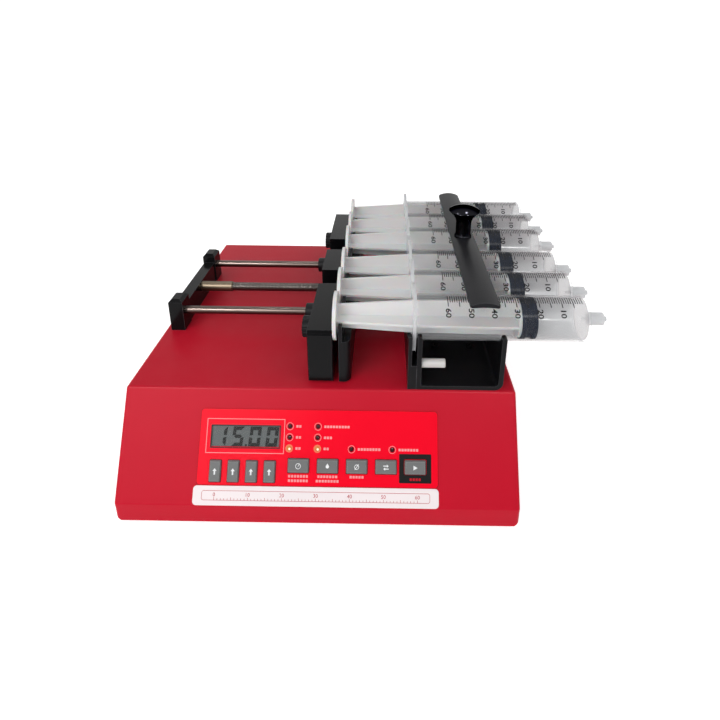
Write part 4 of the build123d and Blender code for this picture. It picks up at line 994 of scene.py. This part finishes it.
class PUMP_OT_label_strip(bpy.types.Operator):
    """Adds the white strip under the overlay, with a plain red ruler"""
    bl_idname = "pump.label_strip"
    bl_label = "Label strip"
    line: length("Line", "Half the width of a ruler line", 0.13)
    inset: length("Inset", "From the strip's end to the ruler's frame", 6.0)
    margin: length("Margin", "From the ruler's frame to its first line", 8.0)
    short_line: length("Short line", "Length of a ruler line", 1.0)
    long_line: length("Long line", "Length of every fifth ruler line", 1.6)
    digit_height: length("Numeral height", "Height of a numeral", 2.3)
    digit_rise: length("Numeral place", "From the frame's lower edge up to a numeral's middle", 3.3)
    upper: number("Frame top", "From the strip's top down to the frame's, in strip heights", 0.26)
    lower: number("Frame bottom", "From the strip's top to the frame's lower edge, in strip heights", 0.72)

    def execute(self, context):
        size = context.scene.pump_print
        tint = context.scene.pump_colours
        level = panel_box("control_overlay")[0][2]
        left, top, tall = -size.strip_left, -size.strip_top, size.strip_height
        right = left + size.strip_width
        outline = rounded(left, top - tall, right, top, size.strip_radius)
        sheet = slab(outline, panel_place(level=level), size.strip_thickness, HAIR)
        add_print("label_strip", [sheet], ink("strip_film", tint.strip))
        level += size.strip_thickness
        face = panel_place(level=level)
        line = self.line
        edges = (left + self.inset, top - tall * self.lower, right - self.inset, top - tall * self.upper)
        parts = [band(rounded(*edges, RULER_CORNER),
                      rounded(*grown(edges, 2 * line), RULER_CORNER + 2 * line), face)]
        ticks = np.linspace(edges[0] + self.margin, edges[2] - self.margin, RULER_LINES)
        for index, x in enumerate(ticks):
            reach = self.short_line if index % 5 else self.long_line
            parts.append(slab(rectangle(x - line, edges[1], x + line, edges[1] + reach), face))
        for index in range(0, len(ticks), 10):
            spot = panel_place(ticks[index], -edges[1] - self.digit_rise, level)
            parts.append(text_part(str(index), self.digit_height, spot))
        add_print("strip_ruler", parts, ink("strip_ink", tint.strip_ink))
        return {"FINISHED"}


class PUMP_OT_barrel_scales(bpy.types.Operator):
    """Wraps a scale of lines and numerals round every barrel"""
    bl_idname = "pump.barrel_scales"
    bl_label = "Barrel scales"
    bold: number("Numeral weight", "How much each stroke of a numeral is widened, in numeral heights", 0.022)

    def execute(self, context):
        size = context.scene.pump_scale
        dark = ink("scale_ink", context.scene.pump_colours.black)
        for name in BARRELS:
            points = node_points(name)
            low, high = extent(points)
            middle = (low[1:] + high[1:]) / 2
            body = points[points[:, 0] > low[0] + BEHIND_FLANGE]
            radius = np.hypot(body[:, 1] - middle[0], body[:, 2] - middle[1]).max()
            zero = low[0] + size.zero
            parts = []
            for volume in range(1, size.volume + 1):
                reach = size.short_line if volume % 5 else size.long_line
                parts.append(scale_line(zero - volume * size.step, size, reach, middle, radius))
            for volume in range(10, size.volume + 1, 10):
                wrap = barrel_wrap(zero - volume * size.step, size.digit_angle, middle, radius)
                parts.append(text_part(str(volume), size.digit_height, wrap, size.digit_stretch, self.bold))
            add_piece(f"{name}_scale", "frame", parts, dark)
        return {"FINISHED"}


def barrel_points(along, angle_up, reach, middle):
    """Points round a barrel's axis, at angles up from its front and at a reach from the axis."""
    return np.stack(np.broadcast_arrays(along, middle[0] - reach * np.cos(angle_up),
                                        middle[1] + reach * np.sin(angle_up)), axis=-1)


def barrel_wrap(x, turn, middle, radius):
    """A place function that lays a plane on a barrel: x runs down round the barrel, y along its axis."""
    return lambda across, along, out: barrel_points(x + along, turn - across / radius, radius + out, middle)


def scale_line(x, size, reach, middle, radius, steps=4):
    """A closed thin line round part of a barrel: a small rectangle carried along an arc and capped."""
    angles = (size.line_angle - np.linspace(0, reach / radius, steps + 1))[:, None]
    low = radius + PRINT_LIFT
    section = rectangle(x - size.line / 2, low, x + size.line / 2, low + PRINT_THICKNESS)
    along, out = section.T
    return tube(barrel_points(along, angles, out, middle), clockwise=True)


class PUMP_OT_lead_screw(bpy.types.Operator):
    """Cuts a real thread into the lead screw, between its plain journals"""
    bl_idname = "pump.lead_screw"
    bl_label = "Lead screw thread"

    def execute(self, context):
        size = context.scene.pump_thread
        points = node_points("lead_screw")
        low, high = extent(points)
        middle = (low[1:] + high[1:]) / 2
        reach = np.hypot(points[:, 1] - middle[0], points[:, 2] - middle[1])
        outer = reach.max()
        start, stop = extent(points[reach > outer - 0.05 * MM, 0])
        journal = reach[np.isclose(points[:, 0], low[0], atol=0.1 * MM)].max()
        x = np.linspace(start, stop, 4 * int((stop - start) / size.pitch) + 1)
        turn = np.linspace(0, 2 * math.pi, size.sides, endpoint=False)
        phase = np.mod(x[:, None] / size.pitch - turn / (2 * math.pi), 1.0)
        edge = np.minimum(np.minimum(x - start, stop - x) / size.pitch, 1.0)[:, None]
        thread = outer - size.depth * (np.abs(2 * phase - 1) * edge + size.runout * (1 - edge))
        plain = np.array([POLE_RADIUS, journal, journal])[:, None] * np.ones(size.sides)
        radius = np.concatenate([plain, thread, plain[::-1]])
        along = np.concatenate([[low[0], low[0], start], x, [stop, high[0], high[0]]])[:, None]
        grid = np.stack(np.broadcast_arrays(along, middle[0] + radius * np.cos(turn),
                                            middle[1] + radius * np.sin(turn)), axis=-1)
        steel = drawn_metal("thread_steel_cut", shaded(context.scene.pump_colours.steel, 0.22), (0.30, 0.44))
        parts = [tube(grid, clockwise=True)]
        screw = add_piece("lead_screw_threaded", "lead_screw", parts, steel, smooth=True)
        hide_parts("lead_screw")
        return {"FINISHED"}


class PUMP_OT_clamp_spring(bpy.types.Operator):
    """Winds the spring under the deck as a coil of fixed length; on the pump it shortens against the deck as
    the clamp lifts
    """
    bl_idname = "pump.clamp_spring"
    bl_label = "Clamp spring"
    wire: length("Wire", "Diameter of the spring's wire", 1.0)
    turns: IntProperty(name="Turns", description="Turns of the spring", default=6, min=2)

    def execute(self, context):
        low, high = (np.array(corner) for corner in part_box("clamp_spring"))
        steel = drawn_metal("spring_steel", context.scene.pump_colours.steel)
        parts = [helix(low, high, self.wire, self.turns)]
        coil = add_piece("clamp_spring_coil", "frame", parts, steel, smooth=True)
        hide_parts("clamp_spring")
        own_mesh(coil)
        return {"FINISHED"}


def helix(low, high, wire, turns, steps=28, sides=8):
    """A closed coiled wire: a circle carried along a helix about an upright axis and capped."""
    middle = (low + high) / 2
    along = np.linspace(0, 2 * math.pi * turns, steps * turns + 1)[:, None]
    around = np.linspace(0, 2 * math.pi, sides, endpoint=False)
    reach = (high[0] - low[0] - wire) / 2 + wire / 2 * np.cos(around)
    rise = low[2] + wire / 2 + (high[2] - low[2] - wire) * along / along[-1]
    return tube(np.stack([middle[0] + reach * np.cos(along), middle[1] + reach * np.sin(along),
                          rise + wire / 2 * np.sin(around)], axis=-1), clockwise=True)


class PUMP_OT_lit_lamps(bpy.types.Operator):
    """Lights the lowest lamp of the two left columns: a glowing dome over each, and the lamp's light on the
    overlay round it as a ring of painted glow
    """
    bl_idname = "pump.lit_lamps"
    bl_label = "Lit lamps"
    radius: length("Dome", "Radius of the glowing dome", 1.56)
    core: length("Core", "Radius of the bright spot on the dome", 0.75)
    core_right: length("Core right", "From the lamp's middle to the bright spot, to the right", 0.3)
    core_down: length("Core down", "From the lamp's middle down to the bright spot", 0.25)
    rise: length("Rise", "How far the dome's top stands out over the lamp", 0.05)
    # the ring of painted glow: the lamp's light on the overlay round it
    ring_share: number("Ring inside", "Inner radius of the warm ring, in those of the printed ring", 0.76)
    ring_spread: length("Ring outside", "How far the warm ring reaches past the printed one", 0.1)

    def execute(self, context):
        size = context.scene.pump_print
        warm = context.scene.pump_colours.lamp
        amber = lamp_lens("lamp_lit", shaded(warm, 0.5), warm, 0.22)
        core = lamp_lens("lamp_core", (0.9, 0.75, 0.55), (1.0, 0.75, 0.5), 0.4)
        # painted glow: the lamp's light on the overlay, as an emitting ring
        ring_glow = lamp_lens("lamp_ring_painted_glow", (0.80, 0.16, 0.10), warm, 0.12)
        top = panel_box("indicator_lamps")[1][2] + self.rise
        places = lamp_places()
        for index, (right, down) in enumerate((places[lamp] for lamp in LIT_LAMPS), start=1):
            glow = dome(right, down, self.radius, top)
            add_piece(f"lamp_glow_{index}", "frame", [glow], amber, smooth=True)
            inner = circle(right, -down, size.ring_inner * self.ring_share)
            outer = circle(right, -down, size.ring_outer + self.ring_spread)
            ring = band(inner, outer, panel_place(level=PRINT_THICKNESS + PRINT_LIFT))
            add_print(f"lamp_ring_{index}", [ring], ring_glow)
            outline = circle(right + self.core_right, -down - self.core_down, self.core, 20)
            add_print(f"lamp_core_{index}", [slab(outline, panel_place(level=top))], core)
        return {"FINISHED"}


def dome(right, down, radius, top, rows=7, sides=20, depth=0.9 * MM):
    """A closed rounded cap: rings whose radius and height follow a fifth-power oval, nearly a cylinder."""
    rise = np.linspace(0, math.pi / 2, rows)
    turn = np.linspace(0, 2 * math.pi, sides, endpoint=False)
    ring = np.maximum(radius * np.abs(np.cos(rise)) ** 0.4, POLE_RADIUS)[:, None]
    level = top - depth * (1 - np.sin(rise) ** 0.4)
    return tube(panel_points(right + ring * np.cos(turn), down - ring * np.sin(turn), level[:, None]))


class PUMP_OT_studio(bpy.types.Operator):
    """Sets the pale floor, the backdrop, the soft lights and the camera"""
    bl_idname = "pump.studio"
    bl_label = "Studio"

    def execute(self, context):
        studio = context.scene.pump_studio
        set_floor(studio)
        set_world(studio)
        set_lights(studio)
        set_camera(studio)
        context.scene.view_settings.view_transform = "Standard"
        return {"FINISHED"}


def set_floor(studio, reach=6.0, bend=3.0, rise=0.6):
    """A wide pale floor that curves up behind, shown as even white apart from the object's shadow.

    Past the bend its height is the square of the way from there, times the rise."""
    across = np.linspace(-reach, reach, 13)
    along = np.linspace(-reach, reach, 49)[:, None]
    height = np.maximum(along - bend, 0.0) ** 2 * rise
    grid = np.stack(np.broadcast_arrays(across, along, height), axis=-1)
    index = np.arange(grid[..., 0].size).reshape(grid.shape[:2])
    corners = [index[:-1, :-1], index[:-1, 1:], index[1:, 1:], index[1:, :-1]]
    mesh = bpy.data.meshes.new("floor")
    mesh.from_pydata(grid.reshape(-1, 3).tolist(), [], np.stack(corners, axis=-1).reshape(-1, 4).tolist())
    floor = bpy.data.objects.new("floor", mesh)
    bpy.context.scene.collection.objects.link(floor)
    material, tree, sockets = new_material("floor_paper", Roughness=0.9, Specular_IOR_Level=0.1,
                                           Emission_Color=(1.0, 1.0, 1.0))
    fine = effect(tree, "fine_grain", Scale=40.0, Broad=2.0)
    seen = any_ray(tree, add_node(tree, "LightPath"), "Camera", "Glossy", "Transmission")
    wire(tree, sockets, Base_Color=blend_colour(tree, fine["Tone"], (0.86, 0.86, 0.86), (0.90, 0.90, 0.90)),
         Emission_Strength=maths(tree, "MULTIPLY", seen, studio.floor))
    mesh.materials.append(material)


def set_world(studio):
    """An even pale world: studio strength for the light it casts, white where it is seen, and in gloss white
    behind the object and darker in front, as in a room that is lit from the backdrop's side."""
    world = bpy.data.worlds.new("studio")
    world.use_nodes = True
    tree = world.node_tree
    path = add_node(tree, "LightPath")
    direction = add_node(tree, "SeparateXYZ", {"Vector": add_node(tree, "TexCoord")["Generated"]})
    limits = {"Value": direction["Y"], "From Min": -0.55, "From Max": 0.35, "To Min": studio.front}
    depth = add_node(tree, "MapRange", limits, interpolation_type="SMOOTHSTEP")["Result"]
    plain = ranged(tree, any_ray(tree, path, "Camera", "Transmission"), studio.world, 1.0)
    gloss = maths(tree, "MULTIPLY", path["Is Glossy Ray"], maths(tree, "SUBTRACT", depth, studio.world))
    strength = maths(tree, "ADD", plain, gloss)
    wire(tree, tree.nodes["Background"].inputs, Color=(1.0, 1.0, 1.0), Strength=strength)
    bpy.context.scene.world = world


def set_lights(studio):
    """A large light in front on the left, a weaker one from the right, and small ones that only gloss shows.

    Each is a square that faces the object's middle, with its place from there, its side and its power."""
    middle = sum(CAD_BOX, Vector()) / 2
    lights = {
        "key_light": ((-0.62, -1.00, 0.60), 0.9, studio.key_power),
        "fill_light": ((1.0, -0.4, 0.9), 0.8, studio.fill_power),
        "sparkle_left": ((-0.45, -0.75, 0.75), 0.06, studio.sparkle),
        "sparkle_right": ((0.35, -0.8, 0.65), 0.06, studio.sparkle),
        "sparkle_top_left": ((-0.25, 0.30, 1.05), 0.07, studio.sparkle / 5),
        "sparkle_top_right": ((0.25, 0.30, 1.05), 0.09, studio.sparkle / 2.5),
    }
    for name, (offset, side, watts) in lights.items():
        lamp = bpy.data.lights.new(name, "AREA")
        lamp.shape = "SQUARE"
        lamp.size = side
        lamp.energy = watts
        holder = bpy.data.objects.new(name, lamp)
        holder.location = middle + Vector(offset)
        holder.rotation_euler = (-Vector(offset)).to_track_quat("-Z", "Y").to_euler()
        holder.visible_diffuse = not name.startswith("sparkle")
        bpy.context.scene.collection.objects.link(holder)


def set_camera(studio):
    """The camera: its place is measured from the case's left side, the fold and the deck."""
    low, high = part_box("cover")
    overlay = node_points("control_overlay")
    deck = high.z
    inner = overlay[np.argmax(overlay[:, 2])]
    fold_y = inner[1] + (deck - inner[2]) * PANEL_UP.y / PANEL_UP.z
    yaw, pitch, roll = studio.yaw, studio.pitch, studio.roll
    forward = Vector((math.sin(yaw) * math.cos(pitch), math.cos(yaw) * math.cos(pitch), -math.sin(pitch)))
    right = Vector((math.cos(yaw), -math.sin(yaw), 0.0))
    up = right.cross(forward)
    rolled_right = right * math.cos(roll) + up * math.sin(roll)
    rolled_up = up * math.cos(roll) - right * math.sin(roll)
    lens = bpy.data.cameras.new("camera")
    lens.sensor_width = 36.0
    lens.lens = studio.lens
    lens.shift_x = studio.shift_x
    lens.shift_y = studio.shift_y
    lens.clip_start = 0.01
    camera = bpy.data.objects.new("camera", lens)
    turn = Matrix((rolled_right, rolled_up, -forward)).transposed().to_4x4()
    place = Vector((low.x + studio.right, fold_y - studio.ahead, deck + studio.above))
    camera.matrix_world = Matrix.Translation(place) @ turn
    bpy.context.scene.collection.objects.link(camera)
    bpy.context.scene.camera = camera


OPERATORS = [
    PUMP_OT_finishes, PUMP_OT_panel_print, PUMP_OT_key_signs, PUMP_OT_display_digits, PUMP_OT_label_strip,
    PUMP_OT_barrel_scales, PUMP_OT_lead_screw, PUMP_OT_clamp_spring, PUMP_OT_lit_lamps, PUMP_OT_studio,
]


class PUMP_PT_sidebar(bpy.types.Panel):
    """Lists the steps that dress the pump"""
    bl_idname = "PUMP_PT_sidebar"
    bl_label = "Syringe pump"
    bl_space_type = "VIEW_3D"
    bl_region_type = "UI"
    bl_category = "Syringe Pump"

    def draw(self, context):
        for operator in OPERATORS:
            self.layout.operator(operator.bl_idname)


def register():
    """Registers the classes and hangs each group of sizes on the scene."""
    for group in GROUPS.values():
        bpy.utils.register_class(group)
    for name, group in GROUPS.items():
        setattr(bpy.types.Scene, name, PointerProperty(type=group))
    for operator in OPERATORS:
        bpy.utils.register_class(operator)
    bpy.utils.register_class(PUMP_PT_sidebar)


def unregister():
    """Takes the classes and the groups away again."""
    bpy.utils.unregister_class(PUMP_PT_sidebar)
    for operator in reversed(OPERATORS):
        bpy.utils.unregister_class(operator)
    for name, group in GROUPS.items():
        delattr(bpy.types.Scene, name)
        bpy.utils.unregister_class(group)


def main():
    """Dresses the frame, one operator after another."""
    register()
    for operator in OPERATORS:
        group, name = operator.bl_idname.split(".")
        getattr(getattr(bpy.ops, group), name)()


if __name__ == "__main__":
    main()
